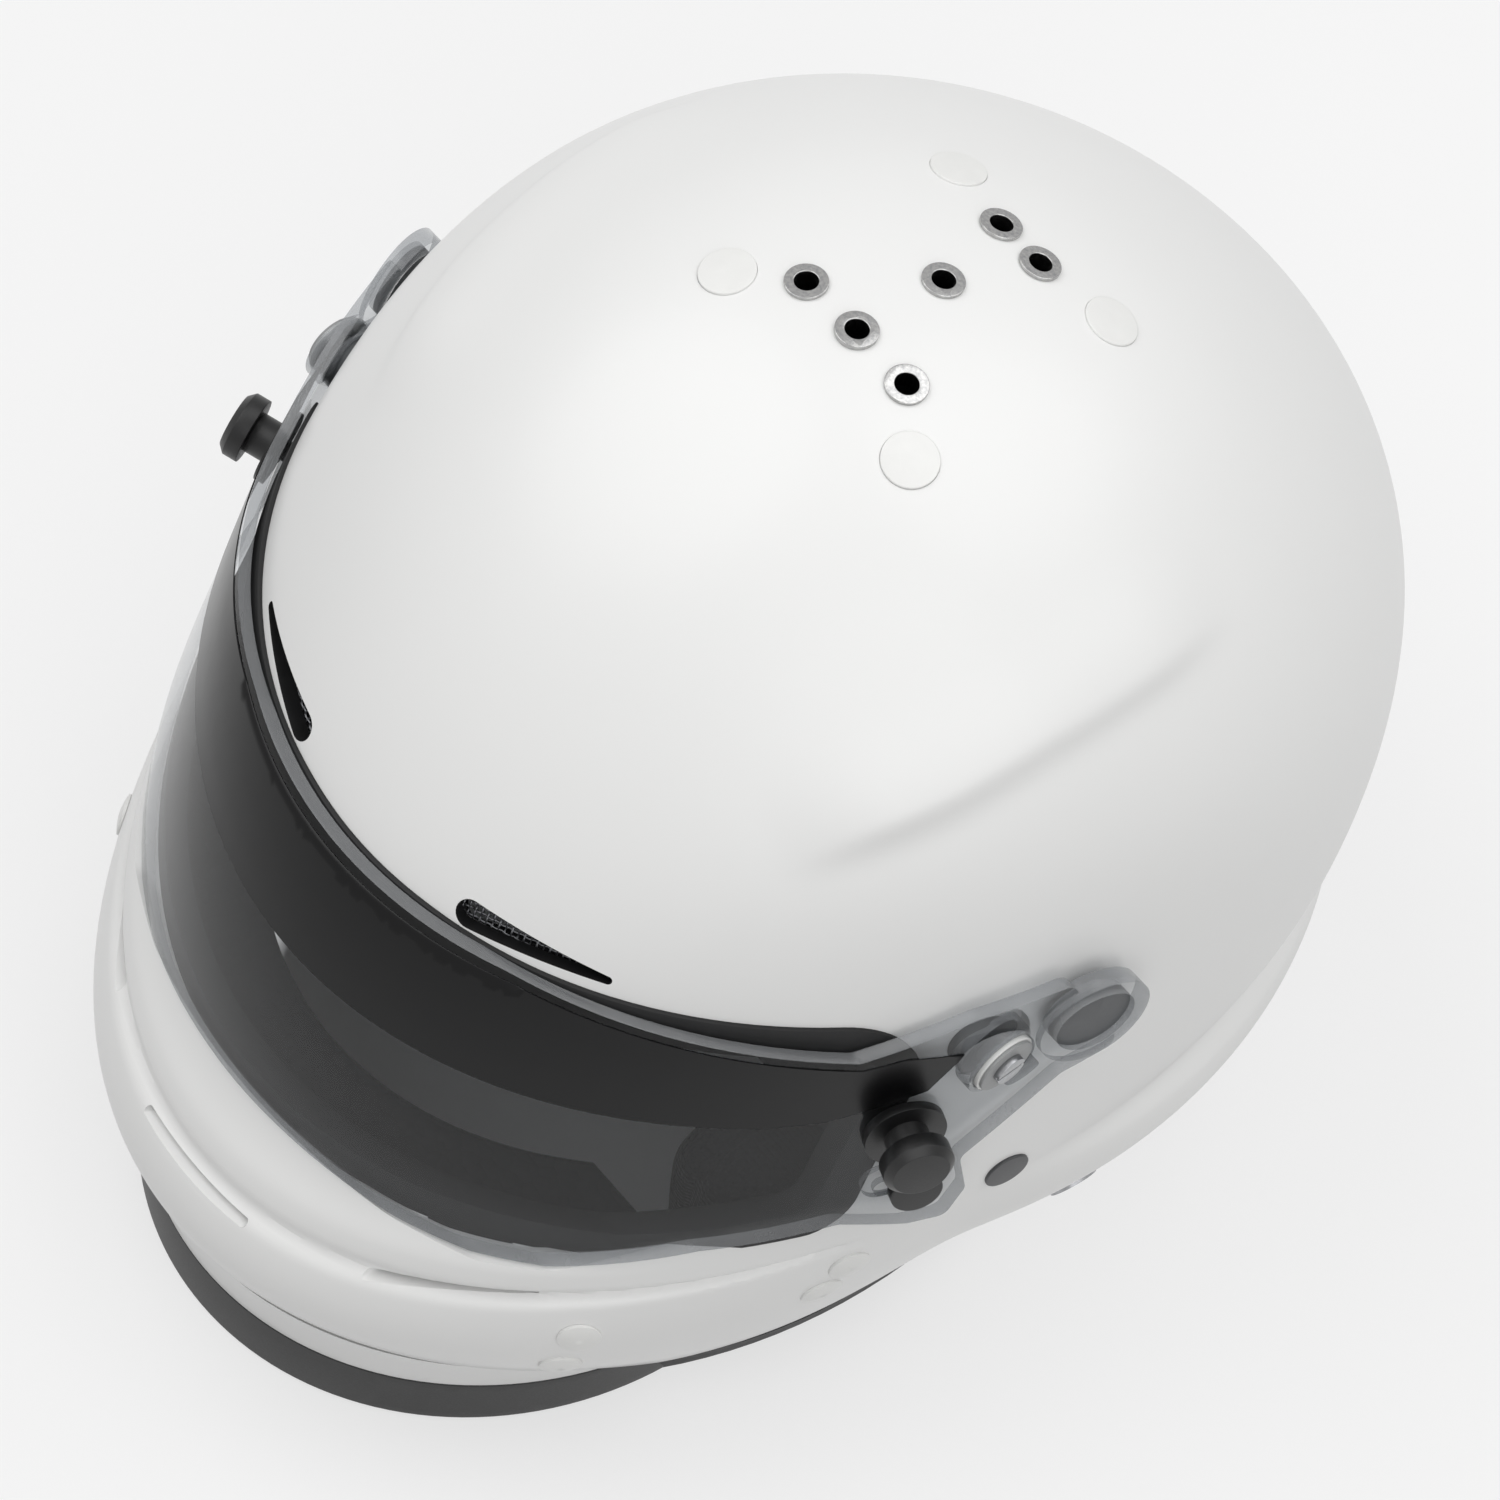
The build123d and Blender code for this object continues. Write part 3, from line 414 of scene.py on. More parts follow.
def dome(name, outer, outer_top, inner, inner_top, material):
    """Closed wall between two grids with the same number of points around."""
    rows_a, around = outer.shape[:2]
    rows_b = inner.shape[0]
    points = [*outer.reshape(-1, 3), outer_top, *inner.reshape(-1, 3), inner_top]
    top_a = rows_a * around
    first_b = top_a + 1
    top_b = first_b + rows_b * around
    faces = grid_faces(rows_a, around) + grid_faces(rows_b, around, first_b, True)
    for j in range(around):
        k = (j + 1) % around
        faces.append([(rows_a - 1) * around + j, (rows_a - 1) * around + k, top_a])
        faces.append([first_b + (rows_b - 1) * around + k, first_b + (rows_b - 1) * around + j, top_b])
        faces.append([k, j, first_b + j, first_b + k])
    return new_object(name, points, faces, material)


def side_outline_prism(name, outline, reach_x=150.0):
    """Closed prism across the helmet from an outline in side view, in millimetres."""
    n = len(outline)
    points = [(-reach_x, y, z) for y, z in outline] + [(reach_x, y, z) for y, z in outline]
    faces = [list(range(n))[::-1], list(range(n, 2 * n))]
    faces += [[i, (i + 1) % n, n + (i + 1) % n, n + i] for i in range(n)]
    return fixed_prism(name, points, faces)


def front_outline_prism(name, outline, back, front=-180.0):
    """Closed prism along Y from an outline seen from the front."""
    n = len(outline)
    points = [(x, front, z) for x, z in outline] + [(x, back, z) for x, z in outline]
    faces = [list(range(n)), list(range(n, 2 * n))[::-1]]
    faces += [[(i + 1) % n, i, n + i, n + (i + 1) % n] for i in range(n)]
    return fixed_prism(name, points, faces)


def fixed_prism(name, points, faces):
    made = new_object(name, points, faces, WHITE)
    bm = bmesh.new()
    bm.from_mesh(made.data)
    bmesh.ops.recalc_face_normals(bm, faces=bm.faces)
    bm.to_mesh(made.data)
    bm.free()
    return made


def rod(name, centre, axis, radius, low, high, sides=48):
    """Closed round rod about an axis through a place, as a cutter."""
    turn = Vector(axis).normalized().to_track_quat("Z", "Y").to_matrix()
    points, faces = [], []
    for level in (low, high):
        for i in range(sides):
            a = 2 * math.pi * i / sides
            p = turn @ Vector((radius * math.cos(a), radius * math.sin(a), level)) + Vector(centre)
            points.append(tuple(p))
    faces = [list(range(sides))[::-1], list(range(sides, 2 * sides))]
    faces += [[i, (i + 1) % sides, sides + (i + 1) % sides, sides + i] for i in range(sides)]
    return fixed_prism(name, points, faces)


def capsule(first, second, first_radius, second_radius, grow=0.0, steps=14):
    """Outline round two circles of different sizes."""
    a, b = Vector(first), Vector(second)
    ra, rb = first_radius + grow, second_radius + grow
    way = (b - a).normalized()
    lean = math.asin((ra - rb) / (b - a).length)
    facing = math.atan2(way.y, way.x)
    points = []
    for s in range(steps + 1):
        t = facing + math.pi / 2 - lean + (math.pi + 2 * lean) * s / steps
        points.append((a.x + ra * math.cos(t), a.y + ra * math.sin(t)))
    for s in range(steps + 1):
        t = facing - math.pi / 2 + lean + (math.pi - 2 * lean) * s / steps
        points.append((b.x + rb * math.cos(t), b.y + rb * math.sin(t)))
    return points


def mirrored_outline(outline):
    return [(-x, z) for x, z in outline][::-1]


def cut_away(made, cutters, keep=False):
    """Cuts the cutters out of the object, or keeps only what lies in them."""
    bm = bmesh.new()
    for cutter in cutters:
        bm.from_mesh(cutter.data)
    joined = bpy.data.meshes.new("cutters")
    bm.to_mesh(joined)
    bm.free()
    tool = bpy.data.objects.new("cutters", joined)
    bpy.context.scene.collection.objects.link(tool)
    change = made.modifiers.new("cut", "BOOLEAN")
    change.operation = "INTERSECT" if keep else "DIFFERENCE"
    change.solver = "EXACT"
    change.object = tool
    bpy.context.view_layer.update()
    apply_modifiers(made)
    for spent in [tool, *cutters]:
        bpy.data.objects.remove(spent)
    return made


def carried(name, material, slot, bevel=0.0, steps=2, angle=30, smooth_over=38, merge=True):
    """Piece with the CAD node's shape: edges sharper than the angle get a bevel in millimetres."""
    source = frame["nodes"][name]
    bm = bmesh.new()
    bm.from_mesh(source.data)
    bmesh.ops.remove_doubles(bm, verts=bm.verts, dist=0.002 * MM)
    if merge:
        bmesh.ops.dissolve_limit(bm, angle_limit=math.radians(0.4), verts=bm.verts, edges=bm.edges)
    if bevel:
        edges = [e for e in bm.edges
                 if len(e.link_faces) == 2 and e.calc_face_angle(0) > math.radians(angle)]
        bmesh.ops.bevel(bm, geom=edges, offset=bevel * MM, segments=steps, profile=0.6, affect="EDGES",
                        clamp_overlap=True)
    mesh = bpy.data.meshes.new(name + "_look")
    bm.to_mesh(mesh)
    bm.free()
    made = bpy.data.objects.new(name + "_look", mesh)
    bpy.context.scene.collection.objects.link(made)
    finish_mesh(made, material, smooth_over)
    return placed(made, body_of_node(name), slot, name)


def body_of_node(name):
    return next(b for b, members in frame["record"]["behaviour"]["bodies"].items() if name in members)


def placed(made, body, slot, *stands_for):
    """Hangs a piece on its body and hides the CAD nodes that it stands for; its material slot is not used.
    """
    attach(made, body)
    if stands_for:
        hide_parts(*stands_for)
    return made


# Outer shell
CREASE_RISE = 2.5
CREASE = ((68.5, -55.9, 203.8), (76.2, -37.7, 211.5), (81.7, -18.6, 216.2), (85.1, 2.5, 220.8),
          (86.2, 20.9, 221.7), (85.5, 38.6, 220.8), (83.1, 58.6, 218.4))
EYEPORT = [(-0.68, 0.663), (-0.26, 0.629), (-0.379, 0.42), (-0.612, 0.395), (-0.72, 0.396)]
SHIELD_BACK_EDGE = [
    (-0.656, 0.6884), (-0.335, 0.6375), (-0.185, 0.6681), (-0.057, 0.6786), (-0.009, 0.6073),
    (0.029, 0.5586), (-0.061, 0.5471), (-0.208, 0.4764), (-0.202, 0.4334), (-0.232, 0.4028),
    (-0.284, 0.4044),
]
SHIELD_LOW_EDGE = [
    (-0.373, 0.423), (-0.543, 0.4034), (-0.701, 0.3653), (-0.769, 0.3618), (-0.827, 0.371),
    (-0.883, 0.3915),
]
SHIELD_OUTLINE = SHIELD_BACK_EDGE + SHIELD_LOW_EDGE
SHIELD_TOP = 0.698
SEAT_DEPTH = 4.4
EYEPORT_TOP = 0.668
EYELETS = ((-16.1, 18.6), (0, 18.6), (16.1, 18.6), (0, 42.9), (-6.3, 65.5), (6.3, 65.5))
PLUGS = ((-29.5, 8.5), (29.5, 8.5), (-24.8, 70.3), (24.8, 70.3))
BROW_VENT = ((28.8, 177.8), (57.7, 176.0), 3.4, 1.0)
SIDE_SLOT = ((45.6, 77.9), (72.8, 83.4), 1.0, 1.0)
CHIN_SLOT = ((-17.5, 74.5), (17.5, 74.5), 1.0, 1.0)
PIVOT = (-24.5, 154.0)
STOP_REACH, STOP_ANGLE = 11, math.radians(-73)
ANCHOR = (-17.0, 99.7)
FAR = -178.0


def side_shape(shares):
    return [(y * REACH, z * HEIGHT) for y, z in shares]


def closed_to_front(shares, top):
    """Outline from shares with its two ends carried on to the front."""
    points = side_shape(shares)
    return [(FAR, top * HEIGHT), *points, (FAR, points[-1][1])]


def round_inner(outline, radius):
    """Rounds the corners that aren't at the far front."""
    n, done = len(outline), []
    for i, corner in enumerate(outline):
        if corner[0] <= FAR:
            done.append(corner)
            continue
        c, before, after = Vector(corner), Vector(outline[i - 1]), Vector(outline[(i + 1) % n])
        one, two = (before - c), (after - c)
        turn = math.pi - one.angle(two)
        cut = min(radius * math.tan(turn / 2), one.length * 0.48, two.length * 0.48)
        a, b = c + one.normalized() * cut, c + two.normalized() * cut
        for s in range(7):
            t = s / 6
            done.append(tuple((1 - t) ** 2 * a + 2 * t * (1 - t) * c + t * t * b))
    return done


def grown(outline, amount):
    """Outline moved outward, corner by corner."""
    n = len(outline)
    area = sum(outline[i - 1][0] * outline[i][1] - outline[i][0] * outline[i - 1][1] for i in range(n))
    sign = 1 if area > 0 else -1
    done = []
    for i, corner in enumerate(outline):
        c, before, after = Vector(corner), Vector(outline[i - 1]), Vector(outline[(i + 1) % n])
        one, two = (c - before).normalized(), (after - c).normalized()
        first, second = Vector((one.y, -one.x)) * sign, Vector((two.y, -two.x)) * sign
        mean = (first + second).normalized()
        done.append(tuple(c + mean * amount / max(mean.dot(first), 0.3)))
    return done


def along_polyline(points, line):
    """Distance to a line, place on it from 0 to 1, and the nearest points."""
    line = np.array(line, float)
    steps = np.linalg.norm(np.diff(line, axis=0), axis=1)
    total, before = steps.sum(), np.append(0, np.cumsum(steps))
    best = np.full(len(points), 1e9)
    share = np.zeros(len(points))
    near = np.zeros((len(points), 3))
    for i, step in enumerate(steps):
        way = (line[i + 1] - line[i]) / step
        t = np.clip((points - line[i]) @ way, 0, step)
        q = line[i] + t[:, None] * way
        d = np.linalg.norm(points - q, axis=1)
        closer = d < best
        best[closer], share[closer], near[closer] = d[closer], ((before[i] + t) / total)[closer], q[closer]
    return best, share, near


def shape_skin(grid):
    """Adds flare, side creases, bead and groove to the plain outer form."""
    rows, around, _ = grid.shape
    p = grid.reshape(-1, 3).copy()
    # Flare round the lower rear
    level = np.clip(p[:, 2], FLARE_LEVELS[0] * HEIGHT, FLARE_LEVELS[-1] * HEIGHT)
    front, rear, width, middle = FLARE.at_height(level)
    dy = p[:, 1] - middle
    share = np.hypot(p[:, 0] / width, dy / np.where(dy < 0, front, rear))
    from_middle = np.hypot(p[:, 0], dy)
    gap = (1 / share - 1) * from_middle
    push = (gap + np.sqrt(gap**2 + 3.0**2)) / 2
    push *= smooth_step(p[:, 2], 24, 32) * (1 - smooth_step(p[:, 2], 90, 99))
    push *= smooth_step(p[:, 1], -90, -50)
    push = np.maximum(push - 0.25, 0)
    p[:, 0] += push * p[:, 0] / from_middle
    p[:, 1] += push * dy / from_middle
    # Outward direction
    g = p.reshape(rows, around, 3)
    across = np.roll(g, -1, axis=1) - np.roll(g, 1, axis=1)
    upward = np.gradient(g, axis=0)
    out = np.cross(across, upward).reshape(-1, 3)
    out /= np.maximum(np.linalg.norm(out, axis=1), 1e-9)[:, None]
    if out[around // 2, 1] > 0 and g[0, around // 2, 1] < 0:
        out = -out
    # Side creases: soft above the line and steep below it
    lift = np.zeros(len(p))
    for side in (LEFT, RIGHT):
        d, at, near = along_polyline(p, [(side * x, y, z) for x, y, z in CREASE])
        rel = p - near
        above = (rel[:, 2] * 0.6 - side * rel[:, 0] * 0.8) > 0
        fade = smooth_step(at, 0.0, 0.25) * (1 - smooth_step(at, 0.75, 1.0))
        spread = np.where(above, 16.0, 4.2)
        lift += CREASE_RISE * fade * np.exp(-(d / spread) ** 2)
    # Groove of the chin bar and the bead over it
    line = 74.2 + 0.1424 * (p[:, 1] + 177.5)
    s = p[:, 2] - line
    wide = np.clip((-45 - p[:, 1]) / 112.5, 0, 1)
    groove = -2.2 * np.exp(-(s / (0.6 + 1.7 * wide)) ** 2) * smooth_step(wide, 0.0, 0.25)
    bead = 0.8 * np.exp(-((s - 7.5) / 3.2) ** 2) * smooth_step(wide, 0.15, 0.6)
    lift += (groove + bead) * (p[:, 1] < -40)
    return (p + out * lift[:, None]).reshape(grid.shape)


def rows_of(form, around, spans):
    """Grid of the form with its own row spacing in each span of heights."""
    places = []
    for start, end, gap in spans:
        a = np.interp(start, form.heights, form.fine)
        b = form.knots[-1] if end is None else np.interp(end, form.heights, form.fine)
        count = max(2, int((b - a) / gap))
        places.extend(np.linspace(a, b, count, endpoint=False))
    z, front, rear, width, middle = form.along(np.array(places))
    turn = np.linspace(0, 2 * math.pi, around, endpoint=False) + math.pi / 2
    across, along = np.cos(turn), np.sin(turn)
    reach = np.where(along[None, :] < 0, front[:, None], rear[:, None])
    grid = np.stack([width[:, None] * across, middle[:, None] + reach * along,
                     np.repeat(z[:, None], around, 1)], axis=-1)
    return grid, np.array([0, form.rows[4][-1], form.rows[0][-1]])


AROUND = 560
outer, outer_top = rows_of(HEAD, AROUND, [(3, 62, 1.9), (62, 100, 0.95), (100, 200, 1.8), (200, None, 1.8)])
outer = shape_skin(outer)
inner_form = head_form(WALL)
inner, inner_top = rows_of(inner_form, AROUND, [(3, None, 4.0)])
shell = dome("shell", outer, outer_top, inner, inner_top, WHITE)
skin_tree = BVHTree.FromObject(shell, bpy.context.evaluated_depsgraph_get())


def skin_hit(start, way):
    """Outermost place and outward direction on the skin along a ray from inside, in millimetres."""
    way = Vector(way).normalized()
    far = Vector(start) * MM + way * 0.5
    place, direction, _, _ = skin_tree.ray_cast(far, -way)
    return place / MM, direction if direction.dot(way) > 0 else -direction


def shield_solid(inset):
    """Closed form inside the shield's outer face, moved inward."""
    form = shield_form(inset)
    u = np.linspace(0, form.knots[-1], 70)
    z, front, _, width, middle = form.along(u)
    turn = np.linspace(math.pi, 2 * math.pi, 161)
    points = [(w * math.cos(t), m + f * math.sin(t), h)
              for h, f, w, m in zip(z, front, width, middle) for t in turn]
    n, rows = len(turn), len(u)
    faces = [[i * n + j, i * n + j + 1, (i + 1) * n + j + 1, (i + 1) * n + j]
             for i in range(rows - 1) for j in range(n - 1)]
    faces += [[i * n + n - 1, i * n, (i + 1) * n, (i + 1) * n + n - 1] for i in range(rows - 1)]
    faces += [list(range(n))[::-1], list(range((rows - 1) * n, rows * n))]
    return fixed_prism("shield_form", points, faces)


def vent_frame(side):
    """Start, way along, way across and outward direction of a brow vent, with its length."""
    (x1, z1), (x2, z2) = BROW_VENT[:2]
    a, out_a = skin_hit((side * x1, -40, z1), (0, -1, 0))
    b, out_b = skin_hit((side * x2, -40, z2), (0, -1, 0))
    outward = (out_a + out_b).normalized()
    along = b - a
    along = along - outward * along.dot(outward)
    return a, along.normalized(), outward.cross(along).normalized() * side, outward, along.length


def vent_cutter(side):
    """Prism of a brow vent, square to the skin."""
    a, along, across, outward, length = vent_frame(side)
    shape = capsule((0, 0), (length, 0), *BROW_VENT[2:])
    points = [tuple(a + along * u + across * v + outward * w) for w in (-45, 20) for u, v in shape]
    n = len(shape)
    faces = [list(range(n))[::-1], list(range(n, 2 * n))]
    faces += [[i, (i + 1) % n, n + (i + 1) % n, n + i] for i in range(n)]
    return fixed_prism("vent", points, faces)


shield_shape = round_inner(closed_to_front(SHIELD_OUTLINE, SHIELD_TOP), 3.0)
rebate = side_outline_prism("rebate", grown(shield_shape, 1.0))
cut_away(rebate, [shield_solid(SEAT_DEPTH)])
cut_away(shell, [rebate])

cutters = [side_outline_prism("eyeport", round_inner(closed_to_front(EYEPORT, EYEPORT_TOP), 10.0))]
for side in (LEFT, RIGHT):
    cutters.append(vent_cutter(side))
    (x1, z1), (x2, z2), r1, r2 = SIDE_SLOT
    shape = capsule((x1, z1), (x2, z2), r1, r2 + 0.001)
    cutters.append(front_outline_prism("slot", shape if side == LEFT else mirrored_outline(shape), -95.0))
    cutters.append(rod("seat", (0, *PIVOT), (side, 0, 0), 10.6, 109.4, 150))
    place, way = skin_hit((0, *ANCHOR), (side, 0, 0))
    cutters.append(rod("anchor", place, way, 5.5, -20, 12))
(x1, z1), (x2, z2), r1, r2 = CHIN_SLOT
cutters.append(front_outline_prism("slot", capsule((x1, z1), (x2, z2), r1, r2 + 0.001), -95.0))
for x, y in EYELETS:
    place, way = skin_hit((x, y, 128), (0, 0, 1))
    cutters.append(rod("eyelet", place, way, 3.35, -15, 12))
for x, y in PLUGS:
    place, way = skin_hit((x, y, 128), (0, 0, 1))
    cutters.append(rod("plug", place, way, 6.42, -1.5, 6))
cut_away(shell, cutters)
cutters = []
for side in (LEFT, RIGHT):
    cutters.append(rod("screw", (0, *PIVOT), (side, 0, 0), 2.1, 95, 150, 24))
    stop = (0, PIVOT[0] + STOP_REACH * math.cos(STOP_ANGLE), PIVOT[1] + STOP_REACH * math.sin(STOP_ANGLE))
    cutters.append(rod("stop", stop, (side, 0, 0), 1.25, 100, 150, 20))
    cutters.append(rod("rivet", (0, 10, 62), (side, 0, 0), 2.55, 100, 150, 24))
cut_away(shell, cutters)
finish_mesh(shell, WHITE, 32)


def paint_seal_and_shade(made):
    """Black rubber on the shield's seat below the eyeport, carried 0.8 mm past the shield's lower edge as a
    painted shadow line, and painted shade: black walls in the brow vents.
    """
    mesh = made.data
    mesh.materials.append(RUBBER)
    centres = np.zeros(3 * len(mesh.polygons))
    normals = np.zeros(3 * len(mesh.polygons))
    mesh.polygons.foreach_get("center", centres)
    mesh.polygons.foreach_get("normal", normals)
    centres, normals = centres.reshape(-1, 3) / MM, normals.reshape(-1, 3)
    edge = sorted(side_shape(SHIELD_LOW_EDGE))
    low = np.interp(centres[:, 1], [y for y, _ in edge], [z for _, z in edge]) - 0.8
    low_front = (centres[:, 1] < -58) & (centres[:, 2] < 112) & (centres[:, 2] > low)
    # Black of the seal on the seat, run 0.8 mm below the shield's lower edge as a painted shadow line
    black = low_front & (abs(ratio(shield_form(SEAT_DEPTH), centres) - 1) < 0.004)
    # Painted shade: the walls of the brow vents are black
    for side in (LEFT, RIGHT):
        a, along, across, outward, length = vent_frame(side)
        u, v, w = ((centres - np.array(a)) @ np.array(way) for way in (along, across, outward))
        wall = abs(normals @ np.array(outward)) < 0.5
        black |= wall & (u > -5) & (u < length + 3) & (abs(v) < 4.5) & (w < -0.6) & (w > -12)
    mesh.polygons.foreach_set("material_index", black.astype(np.int32))


paint_seal_and_shade(shell)
placed(shell, "helmet", "shell_white", "outer_shell")


# Shield: clear faces and milky rims
shield = carried("shield", CLEAR, "shield_clear", 0.35, 2, 35, 40, merge=False)
shield.data.materials.append(RIM)
face_form = shield_form(0)
for polygon in shield.data.polygons:
    c = np.array(polygon.center) / MM
    front, _, width, middle = face_form.at_height(c[2:3])
    way = Vector((c[0] / width[0] ** 2, (c[1] - middle[0]) / front[0] ** 2, 0)).normalized()
    if abs(way.dot(polygon.normal)) < 0.55:
        polygon.material_index = 1
carried("sun_strip", FILM, "strip_black", 0.0, merge=False)

# Pieces that keep their CAD shape, with their edges broken
carried("eyeport_gasket", RUBBER, "gasket_rubber", 0.3, 2, 40, merge=False)
carried("base_edge_trim", RUBBER, "trim_rubber", 0.7, 3, 40, merge=False)
carried("chin_spoiler", WHITE, "shell_white", 0.8, 3, 40, merge=False)
carried("spoiler_lip", LIP, "black_plastic", 1.0, 3, 40, merge=False)
carried("impact_liner", FOAM, "liner_foam", 0.0, merge=False)
carried("chin_liner", FOAM, "liner_foam", 0.0, merge=False)
carried("chin_caps", CAP, "cap_white", 0.3, 3)
carried("crown_plugs", CAP, "cap_white", 0.3, 3)
carried("crown_eyelets", NICKEL, "eyelet_metal", 0.35, 3)
carried("strap_rivets", STEEL, "steel", 0.35, 3)
carried("strap_snap", BLACK, "black_plastic", 0.5, 3)
carried("d_ring_outer", STEEL, "steel", 0.0)
carried("d_ring_inner", STEEL, "steel", 0.0)
carried("anchor_plugs", nylon("nylon_dark", "3A3B3D", "454648", 0.38), "grey_plastic", 0.35, 3)
carried("pivot_washers", WASHER, "grey_plastic", 0.2)
carried("pivot_spacers", MILKY, "spacer_clear", 0.25, 3)
carried("pivot_screws", STEEL, "steel", 0.2)
carried("lock_button", BLACK, "black_plastic", 0.4, 3)
carried("lock_plate", BLACK, "black_plastic", 0.15)
for side in ("left", "right"):
    carried(f"anchor_insert_{side}", stainless("anodised_insert", "A9ABAE", 0.35), "insert_aluminium", 0.2)
    carried(f"pivot_base_{side}", GREY, "grey_plastic", 0.2)
    carried(f"arm_disc_{side}", GREY, "grey_plastic", 0.25)
    carried(f"post_base_{side}", BLACK, "black_plastic", 0.3)
    carried(f"post_cap_{side}", BLACK, "black_plastic", 0.35)
carried("pivot_nuts", STEEL, "steel", 0.2)
carried("stop_pins", STEEL, "steel", 0.15)


# Woven wire behind the vents
def wire(points, radius, sides=6):
    """Points and faces of a round wire through places in millimetres."""
    rings, faces = [], []
    p = np.array(points, float)
    way = np.gradient(p, axis=0)
    way /= np.linalg.norm(way, axis=1)[:, None]
    helper = np.array([0, 0, 1.0]) if abs(way[0, 2]) < 0.8 else np.array([1.0, 0, 0])
    for place, t in zip(p, way):
        one = np.cross(t, helper)
        one /= np.linalg.norm(one)
        two = np.cross(t, one)
        for i in range(sides):
            a = 2 * math.pi * i / sides
            rings.append(place + radius * (math.cos(a) * one + math.sin(a) * two))
    n = len(p)
    for i in range(n - 1):
        for j in range(sides):
            k = (j + 1) % sides
            faces.append([i * sides + j, i * sides + k, (i + 1) * sides + k, (i + 1) * sides + j])
    faces += [list(range(sides))[::-1], list(range((n - 1) * sides, n * sides))]
    return rings, faces


mesh_form = head_form(WALL + 0.75)


def on_mesh_form(x, z):
    front, _, width, middle = mesh_form.at_height(np.array([z]))
    return float(middle[0] - front[0] * math.sqrt(max(0.0, 1 - (x / width[0]) ** 2)))


def inside_shape(x, z, shape):
    hit = False
    for i in range(len(shape)):
        (x1, z1), (x2, z2) = shape[i - 1], shape[i]
        if (z1 > z) != (z2 > z) and x < (x2 - x1) * (z - z1) / (z2 - z1) + x1:
            hit = not hit
    return hit


def woven(name, shapes, pitch, radius, node_name, drop):
    """Square mesh of wires that pass over and under each other inside flat outlines.

    Drop takes a place in the outline's plane and a lift, and gives the place behind the shell.
    """
    points, faces = [], []
    for shape in shapes:
        xs, zs = [x for x, _ in shape], [z for _, z in shape]
        columns = np.arange(math.floor(min(xs) / pitch) * pitch, max(xs) + pitch, pitch)
        levels = np.arange(math.floor(min(zs) / pitch) * pitch, max(zs) + pitch, pitch)
        for upright, fixed_places, free in ((False, levels, xs), (True, columns, zs)):
            for n, fixed in enumerate(fixed_places):
                run = []
                for s in np.arange(min(free), max(free) + 0.01, pitch / 4):
                    x, z = (fixed, s) if upright else (s, fixed)
                    if inside_shape(x, z, shape):
                        wave = math.sin(math.pi * (s / pitch + n)) * radius * 0.9
                        run.append(drop(x, z, wave if upright else -wave))
                    elif len(run) > 2:
                        break
                    else:
                        run = []
                if len(run) > 2:
                    p, f = wire(run, radius)
                    faces += [[i + len(points) for i in face] for face in f]
                    points += p
    made = new_object(name, points, faces, WIRE, 60)
    return placed(made, "helmet", "mesh_black", node_name)


def drop_back(x, z, lift):
    """Place behind the chin bar, seen from the front."""
    return (x, on_mesh_form(x, z) + lift, z)


def vent_mesh(side, name, node_name):
    """Mesh of a brow vent, square to the skin like the vent."""
    a, along, across, outward, length = vent_frame(side)

    def drop(u, v, lift):
        place = a + along * u + across * v
        depth = 0.0
        for _ in range(12):
            at = place - outward * depth
            front, _, width, middle = mesh_form.at_height(np.array([at.z]))
            share = math.hypot(at.x / width[0], (at.y - middle[0]) / front[0])
            depth += (share - 1) * math.hypot(at.x, at.y - middle[0])
        return tuple(place - outward * (depth - lift))

    woven(name, [capsule((0, 0), (length, 0), *BROW_VENT[2:], grow=1.6)], 1.5, 0.24, node_name, drop)


vent_mesh(LEFT, "vent_mesh_left", "brow_vent_mesh_left")
vent_mesh(RIGHT, "vent_mesh_right", "brow_vent_mesh_right")
side_slot = capsule(*SIDE_SLOT[:2], SIDE_SLOT[2], SIDE_SLOT[3] + 0.001, grow=1.6)
front_slot = capsule(*CHIN_SLOT[:2], CHIN_SLOT[2], CHIN_SLOT[3] + 0.001, grow=1.6)
woven("chin_mesh", [side_slot, mirrored_outline(side_slot), front_slot], 1.4, 0.2,
      "chin_vent_mesh", drop_back)


# Comfort pads: swollen by a short cloth simulation, then seamed
def copy_of(name, new_name):
    mesh = frame["nodes"][name].data.copy()
    made = bpy.data.objects.new(new_name, mesh)
    bpy.context.scene.collection.objects.link(made)
    made.data.materials.clear()
    return made


def even_mesh(made, voxel):
    """Even closed mesh of the same shape."""
    bm = bmesh.new()
    bm.from_mesh(made.data)
    bmesh.ops.remove_doubles(bm, verts=bm.verts, dist=0.002 * MM)
    bm.to_mesh(made.data)
    bm.free()
    change = made.modifiers.new("even", "REMESH")
    change.mode, change.voxel_size = "VOXEL", voxel * MM
    bpy.context.view_layer.update()
    return apply_modifiers(made)


def coordinates(mesh):
    flat = np.zeros(len(mesh.vertices) * 3)
    mesh.vertices.foreach_get("co", flat)
    return flat.reshape(-1, 3)


def set_coordinates(mesh, points):
    mesh.vertices.foreach_set("co", points.reshape(-1))
    mesh.update()


def directions(mesh):
    flat = np.zeros(len(mesh.vertices) * 3)
    mesh.vertex_normals.foreach_get("vector", flat)
    return flat.reshape(-1, 3)


